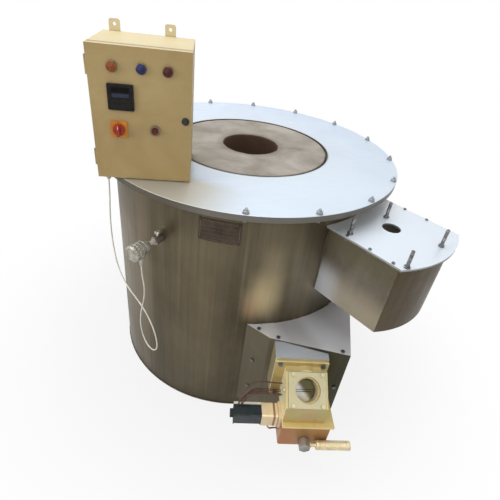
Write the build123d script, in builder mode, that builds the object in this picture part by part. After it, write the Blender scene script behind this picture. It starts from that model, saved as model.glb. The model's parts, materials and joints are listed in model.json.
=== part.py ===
from build123d import *
import os
from math import acos, atan2, cos, degrees, pi, radians, sin, sqrt

os.makedirs("parts", exist_ok=True)

# Frame: +Z up, the furnace axis is Z, the floor is z = 0, the burner side faces -Y.
# All sizes are in millimetres.

# General fits
slip = 0.3  # gap round a piece that stands inside another
running = 0.05  # radial clearance of a shaft that turns or slides
hole_play = 0.4  # radial clearance of a bolt in its hole
sheet = 3.0  # sheet metal of the flue box and the port housing

# Furnace drum
shell_radius = 541.0
shell_wall = 4.0
base_thickness = 8.0
rim_overhang = 59.0
rim_radius = shell_radius + rim_overhang
top_height = 1009.0
top_plate_thickness = 10.0
rim_ring_thickness = 12.0
collar_radius = 314.0
collar_gap = 8.0
mouth_radius = 112.0
chamber_radius = 290.0
lining_thickness = 110.0
base_board_thickness = 100.0
hearth_thickness = 100.0
collar_thickness = 115.0

# Rim bolts
rim_bolt_count = 16
rim_bolt_edge = 12.0
rim_bolt_circle = rim_radius - rim_bolt_edge
rim_bolt_phase = -41.0
rim_bolt_radius = 5.0
rim_bolts_left_out = (4, 5)  # the two places that the control cabinet and its door sweep over
rim_nut_width = 17.0
rim_nut_height = 8.0
rim_washer_radius = 11.0
rim_washer_thickness = 2.0
rim_bolt_proud = 7.0

# Crucible and its stand
crucible_rim_radius = 160.0
crucible_foot_radius = 105.0
crucible_wall = 24.0
crucible_floor = 32.0
crucible_height = 420.0
stand_radius = 95.0
stand_height = 122.0

# Flue box, laid out along its own axis (u) and across it (v)
flue_direction = -66.5
flue_near_side = -105.0
flue_far_side = 263.0
flue_corner_out = 279.0
flue_nose_out = 46.0
flue_corner_reach = shell_radius + flue_corner_out
flue_nose_reach = flue_corner_reach + flue_nose_out
flue_inner_reach = 400.0
flue_drop = 82.5
flue_top = top_height - flue_drop
flue_depth = 280.0
flue_cover_thickness = 6.0
flue_overhang = 15.0
flue_flange_thickness = 4.0
flue_hole_radius = 32.0
flue_hole_back = 158.0
flue_hole_reach = flue_corner_reach - flue_hole_back
flue_hole_across = 84.0
flue_channel_radius = 60.0
flue_tile_radius = 85.0
flue_channel_drop = 140.5
flue_channel_height = flue_top - flue_channel_drop
stud_circle_back = 106.0
stud_circle_reach = flue_corner_reach - stud_circle_back
stud_circle_across = 27.0
stud_circle = 300.0
stud_radius = 6.0
stud_length = 60.0
flue_bolt_radius = 3.0
flue_bolt_backs = (210.0, 120.0, 35.0)
flue_bolt_reaches = [flue_corner_reach - back for back in flue_bolt_backs]

# Port housing, plan corners and heights
port_corner_out = 71.0
port_foot_in = 21.0
port_corner = (-56.0, -(shell_radius + port_corner_out))
port_cheek_foot = (-125.0, -(shell_radius - port_foot_in))
port_front_angle = -28.0
port_front_width = 296.0
port_side_length = 560.0
port_bottom = 58.0
port_top = 507.0
port_fill_gap = 15.0
port_fold_share = 1.6  # how far the cheek runs on into the drum, before it is trimmed
cheek_screw_share = 0.5
front_screw_share = 0.94
housing_screw_radius = 4.0
housing_screw_head = 7.5
housing_screw_head_height = 5.0
housing_screw_grip = 8.0

# Burner, laid out across (a), outwards (d) and up (z)
burner_direction = -105.0
nozzle_across = 220.0
nozzle_height = 390.0
tile_radius = 80.0
tile_bore = 42.0
neck_out = 137.0
neck_front = shell_radius + neck_out
neck_wall = 6.0
neck_front_plate = 8.0
neck_slope = 14.0
neck_top_drop = 15.0
flange_side = 194.0
flange_thickness = 12.0
flange_bolt_spacing = 156.0
flange_bolt_radius = 5.0
flange_nut_width = 16.0
flange_nut_height = 7.0
flange_nut_notch = (33.0, 22.0, 20.0)  # room beside the casting to put the right hand nuts on
body_across = 234.0
body_half_width = 74.0
barrel_radius = 70.0
barrel_height = 396.0
inlet_out = 137.0
inlet_front = neck_front + inlet_out
inlet_low = 391.0
inlet_tilt = 35.3
inlet_plate_width = 132.0
inlet_plate_length = 122.0
inlet_plate_thickness = 12.0
inlet_hole_radius = 45.0
throat_radius = 40.0
flap_depth = 44.0
flap_thickness = 2.5
flap_shaft_radius = 5.0
flap_rest_turn = 14.0
flap_arm_length = 46.0
flap_arm_thickness = 5.0
flap_arm_gap = 7.0
inlet_bolt_circle = 146.0
inlet_bolt_radius = 4.0
inlet_bolt_grip = 15.0
inlet_bolt_width = 13.0
inlet_bolt_head = 5.5
body_bottom = 309.0
ledge_thickness = 12.0
ledge_width = 186.0
ledge_lip = 8.0
block_width = 180.0
block_gap = 34.0
block_depth = 110.0
block_back = neck_front + block_gap
block_front = block_back + block_depth
ledge_front = block_front + ledge_lip
block_bottom = 180.0
cock_across = 252.0
cock_height = 214.0
cock_hub_radius = 22.0
cock_hub_length = 36.0
cock_stem_radius = 9.0
cock_stem_length = 40.0
lever_length = 170.0
lever_grip_radius = 17.0
lever_grip_length = 128.0
union_radius = 28.0
union_bore = 12.5
union_length = 32.0
union_collar = 5.0
union_across = 198.0

# Gas valve left of the burner
valve_height = 287.0
valve_set = 3.0
valve_reach = (block_back + block_front) / 2 + valve_set
valve_block = 60.0
valve_length = 58.0
valve_flange_thickness = 11.0
valve_gasket = 3.0
coil_length = 94.0
coil_side = 54.0
yoke_thickness = 3.0
coil_core_radius = 7.0
coil_nut_length = 12.0
coil_nut_width = 30.0
valve_wire_radius = 2.5

# Thermocouple on the left of the drum
couple_angle = -139.5
couple_drop = 200.0
couple_height = top_height - couple_drop
socket_radius = 15.0
socket_length = 34.0
sheath_radius = 8.0
head_start = 70.0
head_radius = 30.0
head_length = 48.0
head_wall = 5.0
head_floor = 12.0
lid_radius = 33.0
lid_thickness = 22.0
gland_start = 98.0
gland_radius = 9.0
gland_length = 30.0
thumb_screw_reach = 18.0
thumb_screw_radius = 4.0
thumb_knob_radius = 9.0

# Nameplate on the shell
plate_angle = -116.5
plate_width = 141.0
plate_drop = 149.0
plate_rise = 82.0
plate_low = top_height - plate_drop
plate_high = plate_low + plate_rise
plate_thickness = 1.5
plate_rivet_radius = 3.2
plate_rivet_height = 1.9
plate_rivet_inset = 8.0

# Control cabinet, laid out across (x), back (y) and up (z) from its front left foot
cabinet_corner_in = 6.0
cabinet_corner = (-(rim_radius - cabinet_corner_in), -286.0)
cabinet_turn = -12.0
cabinet_width = 285.0
cabinet_height = 385.0
cabinet_depth = 250.0
cabinet_wall = 2.0
cabinet_lip = 6.0
door_thickness = 2.0
door_fold = 20.0
door_floor_gap = 3.0
door_seam = 2.0
hinge_offset = 5.0
hinge_pin_radius = 3.0
hinge_knuckle_radius = 5.0
hinge_knuckle_length = 24.0
hinge_leaf = 1.5
hinge_leaf_length = 22.0
hinge_head = 2.5
hinge_inset = 60.0
hinge_heights = (hinge_inset, cabinet_height - hinge_inset)
lamp_drop = 53.0
lamp_height = cabinet_height - lamp_drop
lamp_places = ((67.0, lamp_height), (146.0, lamp_height), (218.0, lamp_height - 1.0))
lamp_bezel_radius = 15.0
lamp_lens_radius = 11.0
lamp_neck_radius = 8.0
lamp_lens_proud = 14.0
lamp_body_depth = 40.0
controller_drop = 133.0
controller_place = (86.0, cabinet_height - controller_drop)
controller_side = 72.0
controller_body = 66.0
controller_depth = 70.0
switch_drop = 225.0
switch_place = (75.0, cabinet_height - switch_drop)
switch_plate_side = 48.0
switch_knob_radius = 17.0
switch_shaft_radius = 4.0
switch_plate_thickness = 3.0
switch_disc_thickness = 1.5
switch_body_depth = 50.0
switch_knob_depth = 10.0
switch_grip_width = 11.0
switch_grip_height = 12.0
switch_shaft_depth = 17.0
button_drop = 222.0
button_place = (179.0, cabinet_height - button_drop)
button_bezel_radius = 15.0
button_cap_radius = 9.5
button_travel = 4.0
button_stem_radius = 4.0
button_cap_proud = 11.0
button_bezel_height = 6.0
button_body_radius = 10.8
button_body_depth = 45.0
lock_drop = 188.0
lock_place = (268.0, cabinet_height - lock_drop)
lock_shaft_radius = 4.0
lock_housing_radius = 7.5
lock_collar = 4.0
lock_grip = (15.0, 6.0, 11.0)
tongue_width = 8.0
tongue_thickness = 2.5
lug_places = (18.0, 190.0)
lug_width = 34.0
lug_height = 34.0
lug_thickness = 4.0
lug_foot = 14.0
lug_hole_radius = 5.0
cabinet_gland_place = (22.0, 36.0)
cabinet_gland_nut = 10.0
cabinet_gland_drop = 18.0
cabinet_screw_radius = 4.0
cabinet_screw_width = 13.0
cabinet_screw_places = ((90.0, 60.0), (225.0, 60.0), (150.0, 215.0))

# Heights that follow
rim_bottom = top_height - top_plate_thickness - rim_ring_thickness
collar_bottom = top_height - collar_thickness
base_board_top = base_thickness + base_board_thickness
hearth_top = base_board_top + hearth_thickness
crucible_bottom = hearth_top + stand_height
crucible_rim = crucible_bottom + crucible_height
shell_inner = shell_radius - shell_wall
lining_radius = chamber_radius + lining_thickness
flue_bottom = flue_top - flue_depth
flue_cover_bottom = flue_top - flue_cover_thickness


def on_circle(radius, angle):
    return (radius * cos(radians(angle)), radius * sin(radians(angle)))


# Planes that carry each group
def level(height):
    return Plane.XY.offset(height)


def flue_level(height):
    along = on_circle(1, flue_direction)
    return Plane(origin=(0, 0, height), x_dir=(*along, 0), z_dir=(0, 0, 1))


def flue_channel(reach):
    along = on_circle(1, flue_direction)
    across = on_circle(1, flue_direction + 90)
    origin = (
        along[0] * reach + across[0] * flue_hole_across,
        along[1] * reach + across[1] * flue_hole_across,
        flue_channel_height,
    )
    return Plane(origin=origin, x_dir=(*across, 0), z_dir=(*along, 0))


burner_out = on_circle(1, burner_direction)
burner_side = on_circle(1, burner_direction + 90)


def burner_point(across, out, height):
    return (
        burner_side[0] * across + burner_out[0] * out,
        burner_side[1] * across + burner_out[1] * out,
        height,
    )


def burner_face(across, out, height):
    return Plane(origin=burner_point(across, out, height), x_dir=(*burner_side, 0), z_dir=(*burner_out, 0))


def burner_level(height):
    return Plane(origin=(0, 0, height), x_dir=(*burner_side, 0), z_dir=(0, 0, 1))


def burner_section(across):
    # seen from the left of the burner: local x is outwards, local y is up
    return Plane(
        origin=burner_point(across, 0, 0),
        x_dir=(*burner_out, 0),
        z_dir=(-burner_side[0], -burner_side[1], 0),
    )


couple_out = on_circle(1, couple_angle)


def couple_face(reach):
    # a plane square to the thermocouple, reach out from the shell
    origin = (*on_circle(shell_radius + reach, couple_angle), couple_height)
    return Plane(origin=origin, x_dir=(-couple_out[1], couple_out[0], 0), z_dir=(*couple_out, 0))


cabinet_side = on_circle(1, cabinet_turn)
cabinet_back = on_circle(1, cabinet_turn + 90)


def cabinet_point(across, back, height):
    return (
        cabinet_corner[0] + cabinet_side[0] * across + cabinet_back[0] * back,
        cabinet_corner[1] + cabinet_side[1] * across + cabinet_back[1] * back,
        top_height + height,
    )


def cabinet_level(height):
    return Plane(origin=cabinet_point(0, 0, height), x_dir=(*cabinet_side, 0), z_dir=(0, 0, 1))


def cabinet_face(back):
    # a plane that faces the front: local x is across, local y is up
    return Plane(
        origin=cabinet_point(0, back, 0),
        x_dir=(*cabinet_side, 0),
        z_dir=(-cabinet_back[0], -cabinet_back[1], 0),
    )


# Drum: base, shell and rim ring
with BuildPart() as base_plate:
    with BuildSketch(level(0)):
        Circle(shell_radius)
    extrude(amount=base_thickness)
base_plate.part.label = "base_plate"
export_step(base_plate.part, "parts/base_plate.step")

with BuildPart() as shell:
    with BuildSketch(level(base_thickness)):
        Circle(shell_radius)
        Circle(shell_inner, mode=Mode.SUBTRACT)
    extrude(amount=rim_bottom - base_thickness)
    with BuildSketch(burner_face(nozzle_across, chamber_radius, nozzle_height)):
        Circle(tile_radius + slip)
    extrude(amount=shell_radius, mode=Mode.SUBTRACT)
    with BuildSketch(flue_channel(chamber_radius)):
        Circle(flue_tile_radius + slip)
    extrude(amount=shell_radius, mode=Mode.SUBTRACT)
    with BuildSketch(couple_face(-2 * shell_wall)):
        Circle(sheath_radius + slip)
    extrude(amount=3 * shell_wall, mode=Mode.SUBTRACT)
shell.part.label = "shell"
export_step(shell.part, "parts/shell.step")

rim_bolt_angles = [
    rim_bolt_phase - 360 / rim_bolt_count * place
    for place in range(rim_bolt_count)
    if place not in rim_bolts_left_out
]
rim_bolt_points = [on_circle(rim_bolt_circle, angle) for angle in rim_bolt_angles]
cabinet_screw_points = [
    (cabinet_point(across, back, 0)[0], cabinet_point(across, back, 0)[1])
    for across, back in cabinet_screw_places
]

with BuildPart() as rim_ring:
    with BuildSketch(level(rim_bottom)):
        Circle(rim_radius)
        Circle(shell_inner, mode=Mode.SUBTRACT)
        with Locations(*rim_bolt_points):
            Circle(rim_bolt_radius + hole_play, mode=Mode.SUBTRACT)
    extrude(amount=rim_ring_thickness)
rim_ring.part.label = "rim_ring"
export_step(rim_ring.part, "parts/rim_ring.step")

with BuildPart() as top_plate:
    with BuildSketch(level(rim_bottom + rim_ring_thickness)):
        Circle(rim_radius)
        Circle(collar_radius + collar_gap, mode=Mode.SUBTRACT)
        with Locations(*rim_bolt_points):
            Circle(rim_bolt_radius + hole_play, mode=Mode.SUBTRACT)
        with Locations(*cabinet_screw_points):
            Circle(cabinet_screw_radius + hole_play, mode=Mode.SUBTRACT)
    extrude(amount=top_plate_thickness)
    chamfer(top_plate.faces().sort_by(Axis.Z)[-1].outer_wire().edges(), length=1.5)
top_plate.part.label = "top_plate"
export_step(top_plate.part, "parts/top_plate.step")

with BuildPart() as rim_bolts:
    with BuildSketch(level(rim_bottom - rim_nut_height + 1)):
        with Locations(*rim_bolt_points):
            RegularPolygon(rim_nut_width / 2, 6, major_radius=False)
    extrude(amount=rim_nut_height - 1)
    with BuildSketch(level(rim_bottom)):
        with Locations(*rim_bolt_points):
            Circle(rim_bolt_radius)
    extrude(
        amount=rim_ring_thickness
        + top_plate_thickness
        + rim_washer_thickness
        + rim_nut_height
        + rim_bolt_proud
    )
    with BuildSketch(level(top_height)):
        with Locations(*rim_bolt_points):
            Circle(rim_washer_radius)
    extrude(amount=rim_washer_thickness)
    with BuildSketch(level(top_height + rim_washer_thickness)):
        with Locations(*rim_bolt_points):
            RegularPolygon(rim_nut_width / 2, 6, major_radius=False)
    extrude(amount=rim_nut_height)
rim_bolts.part.label = "rim_bolts"
export_step(rim_bolts.part, "parts/rim_bolts.step")

# Lining, hearth, crucible and mouth collar
with BuildPart() as drum_insulation:
    with BuildSketch(level(base_thickness)):
        Circle(shell_inner - slip)
    extrude(amount=rim_bottom + rim_ring_thickness - base_thickness)
    with BuildSketch(level(base_board_top)):
        Circle(lining_radius + slip)
    extrude(amount=collar_bottom - base_board_top, mode=Mode.SUBTRACT)
    with BuildSketch(level(collar_bottom)):
        Circle(collar_radius + collar_gap)
    extrude(amount=collar_thickness, mode=Mode.SUBTRACT)
    with BuildSketch(burner_face(nozzle_across, chamber_radius / 3, nozzle_height)):
        Circle(tile_radius + slip)
    extrude(amount=shell_radius, mode=Mode.SUBTRACT)
    with BuildSketch(flue_channel(chamber_radius / 2)):
        Circle(flue_tile_radius + slip)
    extrude(amount=shell_radius, mode=Mode.SUBTRACT)
    with BuildSketch(couple_face(chamber_radius - shell_radius - lining_thickness)):
        Circle(sheath_radius + slip)
    extrude(amount=shell_radius, mode=Mode.SUBTRACT)
drum_insulation.part.label = "drum_insulation"
export_step(drum_insulation.part, "parts/drum_insulation.step")

with BuildPart() as refractory_lining:
    with BuildSketch(level(base_board_top)):
        Circle(lining_radius)
        Circle(chamber_radius, mode=Mode.SUBTRACT)
    extrude(amount=collar_bottom - base_board_top)
    with BuildSketch(burner_face(nozzle_across, chamber_radius / 3, nozzle_height)):
        Circle(tile_radius + slip)
    extrude(amount=shell_radius, mode=Mode.SUBTRACT)
    with BuildSketch(flue_channel(chamber_radius / 2)):
        Circle(flue_tile_radius + slip)
    extrude(amount=shell_radius, mode=Mode.SUBTRACT)
    with BuildSketch(couple_face(chamber_radius - shell_radius - lining_thickness)):
        Circle(sheath_radius + slip)
    extrude(amount=shell_radius, mode=Mode.SUBTRACT)
refractory_lining.part.label = "refractory_lining"
export_step(refractory_lining.part, "parts/refractory_lining.step")

with BuildPart() as hearth:
    with BuildSketch(level(base_board_top)):
        Circle(chamber_radius - slip)
    extrude(amount=hearth_thickness)
hearth.part.label = "hearth"
export_step(hearth.part, "parts/hearth.step")

with BuildPart() as crucible_stand:
    with BuildSketch(level(hearth_top)):
        Circle(stand_radius)
    extrude(amount=stand_height)
    chamfer(crucible_stand.edges().filter_by(GeomType.CIRCLE), length=4)
crucible_stand.part.label = "crucible_stand"
export_step(crucible_stand.part, "parts/crucible_stand.step")

with BuildPart() as crucible:
    with BuildSketch(Plane.XZ):
        with BuildLine():
            Line((0, crucible_bottom), (crucible_foot_radius, crucible_bottom))
            ThreePointArc(
                (crucible_foot_radius, crucible_bottom),
                (crucible_rim_radius - 8, crucible_bottom + 0.45 * crucible_height),
                (crucible_rim_radius, crucible_rim),
            )
            Line((crucible_rim_radius, crucible_rim), (crucible_rim_radius - crucible_wall, crucible_rim))
            ThreePointArc(
                (crucible_rim_radius - crucible_wall, crucible_rim),
                (crucible_rim_radius - crucible_wall - 10, crucible_bottom + 0.5 * crucible_height),
                (crucible_foot_radius - crucible_wall, crucible_bottom + crucible_floor),
            )
            Line(
                (crucible_foot_radius - crucible_wall, crucible_bottom + crucible_floor),
                (0, crucible_bottom + crucible_floor),
            )
            Line((0, crucible_bottom + crucible_floor), (0, crucible_bottom))
        make_face()
    revolve(axis=Axis.Z)
crucible.part.label = "crucible"
export_step(crucible.part, "parts/crucible.step")

with BuildPart() as mouth_collar:
    with BuildSketch(level(collar_bottom)):
        Circle(collar_radius)
        Circle(mouth_radius, mode=Mode.SUBTRACT)
    extrude(amount=collar_thickness)
    chamfer(mouth_collar.faces().sort_by(Axis.Z)[-1].edges(), length=4)
mouth_collar.part.label = "mouth_collar"
export_step(mouth_collar.part, "parts/mouth_collar.step")


# Flue box
def flue_outline(inset):
    near = flue_near_side + inset
    far = flue_far_side - inset
    corner = flue_corner_reach - inset
    nose = flue_nose_reach - inset
    with BuildLine() as outline:
        Polyline((corner, far), (flue_inner_reach, far), (flue_inner_reach, near), (corner, near))
        ThreePointArc((corner, near), (nose, (near + far) / 2), (corner, far))
    make_face(outline.edges())


def outside_shell(gap):
    Circle(shell_radius + gap, mode=Mode.SUBTRACT)


flue_bolt_near = flue_near_side + flue_overhang / 2
flue_bolt_far = flue_far_side - flue_overhang / 2
flue_bolt_points = [
    (reach, across)
    for reach in flue_bolt_reaches
    for across in (flue_bolt_near, flue_bolt_far)
]

with BuildPart() as flue_box:
    with BuildSketch(flue_level(flue_bottom)):
        flue_outline(flue_overhang)
        outside_shell(slip)
    extrude(amount=flue_cover_bottom - flue_bottom)
    with BuildSketch(flue_level(flue_cover_bottom - flue_flange_thickness)):
        flue_outline(0)
        outside_shell(slip)
    extrude(amount=flue_flange_thickness)
    with BuildSketch(flue_level(flue_bottom + sheet)):
        flue_outline(flue_overhang + sheet)
    extrude(amount=flue_depth, mode=Mode.SUBTRACT)
    with BuildSketch(flue_level(flue_cover_bottom)):
        with Locations(*flue_bolt_points):
            Circle(flue_bolt_radius + hole_play)
    extrude(amount=-2 * flue_flange_thickness, mode=Mode.SUBTRACT)
flue_box.part.label = "flue_box"
export_step(flue_box.part, "parts/flue_box.step")

with BuildPart() as flue_lining:
    with BuildSketch(flue_level(flue_bottom + sheet)):
        flue_outline(flue_overhang + sheet + slip)
        outside_shell(2 * slip)
    extrude(amount=flue_cover_bottom - flue_bottom - sheet)
    # the tile that carries the flue through the shell and the lining
    with BuildSketch(flue_channel(chamber_radius / 2)):
        Circle(flue_tile_radius)
    extrude(amount=shell_radius + 4 * sheet - chamber_radius / 2)
    with BuildSketch(level(flue_bottom)):
        Circle(chamber_radius)
    extrude(amount=flue_depth, mode=Mode.SUBTRACT)
    with BuildSketch(flue_channel(chamber_radius / 2)):
        Circle(flue_channel_radius)
    extrude(amount=flue_hole_reach - chamber_radius / 2, mode=Mode.SUBTRACT)
    with BuildSketch(flue_level(flue_channel_height)):
        with Locations((flue_hole_reach, flue_hole_across)):
            Circle(flue_channel_radius)
    extrude(amount=flue_depth, mode=Mode.SUBTRACT)
flue_lining.part.label = "flue_lining"
export_step(flue_lining.part, "parts/flue_lining.step")

with BuildPart() as flue_cover:
    with BuildSketch(flue_level(flue_cover_bottom)):
        flue_outline(0)
        outside_shell(slip)
        with Locations((flue_hole_reach, flue_hole_across)):
            Circle(flue_hole_radius, mode=Mode.SUBTRACT)
        with Locations(*flue_bolt_points):
            Circle(flue_bolt_radius + hole_play, mode=Mode.SUBTRACT)
    extrude(amount=flue_cover_thickness)
flue_cover.part.label = "flue_cover"
export_step(flue_cover.part, "parts/flue_cover.step")

with BuildPart() as flue_studs:
    with BuildSketch(flue_level(flue_top)):
        with Locations((stud_circle_reach, stud_circle_across)):
            with PolarLocations(stud_circle / 2, 4, start_angle=45):
                Circle(stud_radius)
    extrude(amount=stud_length)
    chamfer(flue_studs.edges().group_by(Axis.Z)[-1], length=1.5)
flue_studs.part.label = "flue_studs"
export_step(flue_studs.part, "parts/flue_studs.step")

with BuildPart() as flue_bolts:
    with BuildSketch(flue_level(flue_top)):
        with Locations(*flue_bolt_points):
            RegularPolygon(5, 6, major_radius=False)
    extrude(amount=4)
    with BuildSketch(flue_level(flue_top)):
        with Locations(*flue_bolt_points):
            Circle(flue_bolt_radius)
    extrude(amount=-(flue_cover_thickness + flue_flange_thickness + 6))
    with BuildSketch(flue_level(flue_cover_bottom - flue_flange_thickness)):
        with Locations(*flue_bolt_points):
            RegularPolygon(5, 6, major_radius=False)
    extrude(amount=-4)
flue_bolts.part.label = "flue_bolts"
export_step(flue_bolts.part, "parts/flue_bolts.step")

# Port housing: a sheet box that meets the drum at a slant
port_front = on_circle(1, port_front_angle)
port_back = on_circle(1, port_front_angle + 90)
port_right = (
    port_corner[0] + port_front[0] * port_front_width,
    port_corner[1] + port_front[1] * port_front_width,
)
port_right_foot = (
    port_right[0] + port_back[0] * port_side_length,
    port_right[1] + port_back[1] * port_side_length,
)
port_left_foot = (
    port_corner[0] + port_fold_share * (port_cheek_foot[0] - port_corner[0]),
    port_corner[1] + port_fold_share * (port_cheek_foot[1] - port_corner[1]),
)


def port_outline(inset):
    with BuildLine() as outline:
        Polyline(port_left_foot, port_corner, port_right, port_right_foot, close=True)
    face = make_face(outline.edges(), mode=Mode.PRIVATE)
    if inset:
        face = offset(face, amount=-inset, kind=Kind.INTERSECTION, mode=Mode.PRIVATE)
    add(face)


# Where the front wall of the housing lies, measured outwards along the burner
def front_wall_reach(across):
    corner_across = burner_side[0] * port_corner[0] + burner_side[1] * port_corner[1]
    corner_reach = burner_out[0] * port_corner[0] + burner_out[1] * port_corner[1]
    rise = burner_out[0] * port_front[0] + burner_out[1] * port_front[1]
    run = burner_side[0] * port_front[0] + burner_side[1] * port_front[1]
    return corner_reach + (across - corner_across) * rise / run


# Screws that hold the housing: (point on the wall, outward direction, height)
cheek_run = (port_cheek_foot[0] - port_corner[0], port_cheek_foot[1] - port_corner[1])
cheek_out = on_circle(1, degrees(atan2(cheek_run[1], cheek_run[0])) + 90)
front_out = on_circle(1, port_front_angle - 90)


def between(start, end, share):
    return (start[0] + (end[0] - start[0]) * share, start[1] + (end[1] - start[1]) * share)


housing_screw_seats = [
    (between(port_corner, port_cheek_foot, cheek_screw_share), cheek_out, 340),
    (between(port_corner, port_cheek_foot, cheek_screw_share), cheek_out, 178),
    (between(port_corner, port_right, front_screw_share), front_out, 320),
    (between(port_corner, port_right, front_screw_share), front_out, 150),
]
cover_screw_points = [
    between(port_corner, port_cheek_foot, 0.45),
    between(port_corner, port_right, 0.1),
    between(port_corner, port_right, 0.9),
]
cover_screw_points = [(x + 10 * port_back[0], y + 10 * port_back[1]) for x, y in cover_screw_points]


def seat_plane(seat):
    point, out, height = seat
    return Plane(origin=(*point, height), x_dir=(-out[1], out[0], 0), z_dir=(*out, 0))


with BuildPart() as port_housing:
    with BuildSketch(level(port_bottom)):
        port_outline(0)
        outside_shell(slip)
    extrude(amount=port_top - port_bottom)
    with BuildSketch(level(port_bottom + sheet)):
        port_outline(sheet)
    extrude(amount=port_top - port_bottom - 2 * sheet, mode=Mode.SUBTRACT)
    with BuildSketch(burner_face(nozzle_across, shell_radius, nozzle_height)):
        Circle(tile_radius + slip)
    extrude(amount=neck_front - shell_radius, mode=Mode.SUBTRACT)
    for seat in housing_screw_seats:
        with BuildSketch(seat_plane(seat)):
            Circle(housing_screw_radius + hole_play)
        extrude(amount=-2 * sheet, mode=Mode.SUBTRACT)
    with BuildSketch(level(port_top)):
        with Locations(*cover_screw_points):
            Circle(housing_screw_radius + hole_play)
    extrude(amount=-2 * sheet, mode=Mode.SUBTRACT)
port_housing.part.label = "port_housing"
export_step(port_housing.part, "parts/port_housing.step")

with BuildPart() as port_insulation:
    with BuildSketch(level(port_bottom + sheet)):
        port_outline(port_fill_gap)
        outside_shell(port_fill_gap)
    extrude(amount=port_top - port_bottom - 2 * port_fill_gap)
    with BuildSketch(burner_face(nozzle_across, chamber_radius, nozzle_height)):
        Circle(tile_radius + slip)
    extrude(amount=neck_front - chamber_radius, mode=Mode.SUBTRACT)
port_insulation.part.label = "port_insulation"
export_step(port_insulation.part, "parts/port_insulation.step")

with BuildPart() as fixing_screws:
    for seat in housing_screw_seats:
        with BuildSketch(seat_plane(seat)):
            Circle(housing_screw_head)
        extrude(amount=housing_screw_head_height)
        with BuildSketch(seat_plane(seat)):
            Circle(housing_screw_radius)
        extrude(amount=-(sheet + housing_screw_grip))
    with BuildSketch(level(port_top)):
        with Locations(*cover_screw_points):
            Circle(housing_screw_head)
    extrude(amount=housing_screw_head_height)
    with BuildSketch(level(port_top)):
        with Locations(*cover_screw_points):
            Circle(housing_screw_radius)
    extrude(amount=-(sheet + housing_screw_grip))
    # the three that hold the cabinet's floor to the top plate
    with BuildSketch(cabinet_level(cabinet_wall)):
        with Locations(*cabinet_screw_places):
            RegularPolygon(cabinet_screw_width / 2, 6, major_radius=False)
    extrude(amount=housing_screw_head_height)
    with BuildSketch(cabinet_level(cabinet_wall)):
        with Locations(*cabinet_screw_places):
            Circle(cabinet_screw_radius)
    extrude(amount=-(cabinet_wall + top_plate_thickness))
fixing_screws.part.label = "fixing_screws"
export_step(fixing_screws.part, "parts/fixing_screws.step")

# Burner tile, neck and burner casting
with BuildPart() as burner_tile:
    with BuildSketch(burner_face(nozzle_across, chamber_radius / 3, nozzle_height)):
        Circle(tile_radius)
        Circle(tile_bore, mode=Mode.SUBTRACT)
    extrude(amount=neck_front - chamber_radius / 3)
    with BuildSketch(level(base_board_top)):
        Circle(chamber_radius)
    extrude(amount=rim_bottom, mode=Mode.SUBTRACT)
burner_tile.part.label = "burner_tile"
export_step(burner_tile.part, "parts/burner_tile.step")

flange_left = nozzle_across - flange_side / 2
flange_right = nozzle_across + flange_side / 2
flange_low = nozzle_height - flange_side / 2
flange_high = nozzle_height + flange_side / 2

with BuildPart() as burner_neck:
    with BuildSketch(burner_level(flange_low)):
        with BuildLine():
            Polyline(
                (flange_left, -front_wall_reach(flange_left)),
                (flange_left, -neck_front),
                (flange_right, -neck_front),
                (flange_right, -front_wall_reach(flange_right)),
                close=True,
            )
        make_face()
    extrude(amount=flange_side + neck_top_drop)
    slope_plane = Plane(
        origin=burner_point(nozzle_across, neck_front, flange_high),
        x_dir=(*burner_side, 0),
        z_dir=(
            burner_out[0] * sin(radians(neck_slope)),
            burner_out[1] * sin(radians(neck_slope)),
            cos(radians(neck_slope)),
        ),
    )
    split(bisect_by=slope_plane, keep=Keep.BOTTOM)
    with BuildSketch(burner_face(nozzle_across, neck_front - neck_front_plate, nozzle_height)):
        Rectangle(flange_side - 2 * neck_wall, flange_side - 2 * neck_wall)
    extrude(amount=-neck_front, mode=Mode.SUBTRACT)
    with BuildSketch(burner_face(nozzle_across, neck_front, nozzle_height)):
        Circle(tile_radius + slip)
        with GridLocations(flange_bolt_spacing, flange_bolt_spacing, 2, 2):
            Circle(flange_bolt_radius + hole_play)
    extrude(amount=-2 * neck_front_plate, mode=Mode.SUBTRACT)
burner_neck.part.label = "burner_neck"
export_step(burner_neck.part, "parts/burner_neck.step")

# The slanted air inlet: its plate lies on a face that climbs back from the front
inlet_rise = sin(radians(inlet_tilt))
inlet_run = cos(radians(inlet_tilt))
# unit directions in the burner's out and up coordinates
inlet_normal = (inlet_rise, inlet_run)
inlet_foot = (inlet_front, inlet_low)
inlet_centre = (
    inlet_foot[0] - inlet_run * inlet_plate_length / 2,
    inlet_foot[1] + inlet_rise * inlet_plate_length / 2,
)
inlet_head = (
    inlet_foot[0] - inlet_run * inlet_plate_length,
    inlet_foot[1] + inlet_rise * inlet_plate_length,
)


def inlet_face(depth):
    # a plane square to the air inlet, depth below the casting's slanted face
    reach = inlet_centre[0] - inlet_normal[0] * depth
    height = inlet_centre[1] - inlet_normal[1] * depth
    return Plane(
        origin=burner_point(body_across, reach, height),
        x_dir=(*burner_side, 0),
        z_dir=(burner_out[0] * inlet_normal[0], burner_out[1] * inlet_normal[0], inlet_normal[1]),
    )


flap_centre = (
    inlet_centre[0] - inlet_normal[0] * flap_depth,
    inlet_centre[1] - inlet_normal[1] * flap_depth,
)
body_left = body_across - body_half_width
body_right = body_across + body_half_width
body_back = neck_front + flange_thickness
ledge_bottom = body_bottom - ledge_thickness

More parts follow.
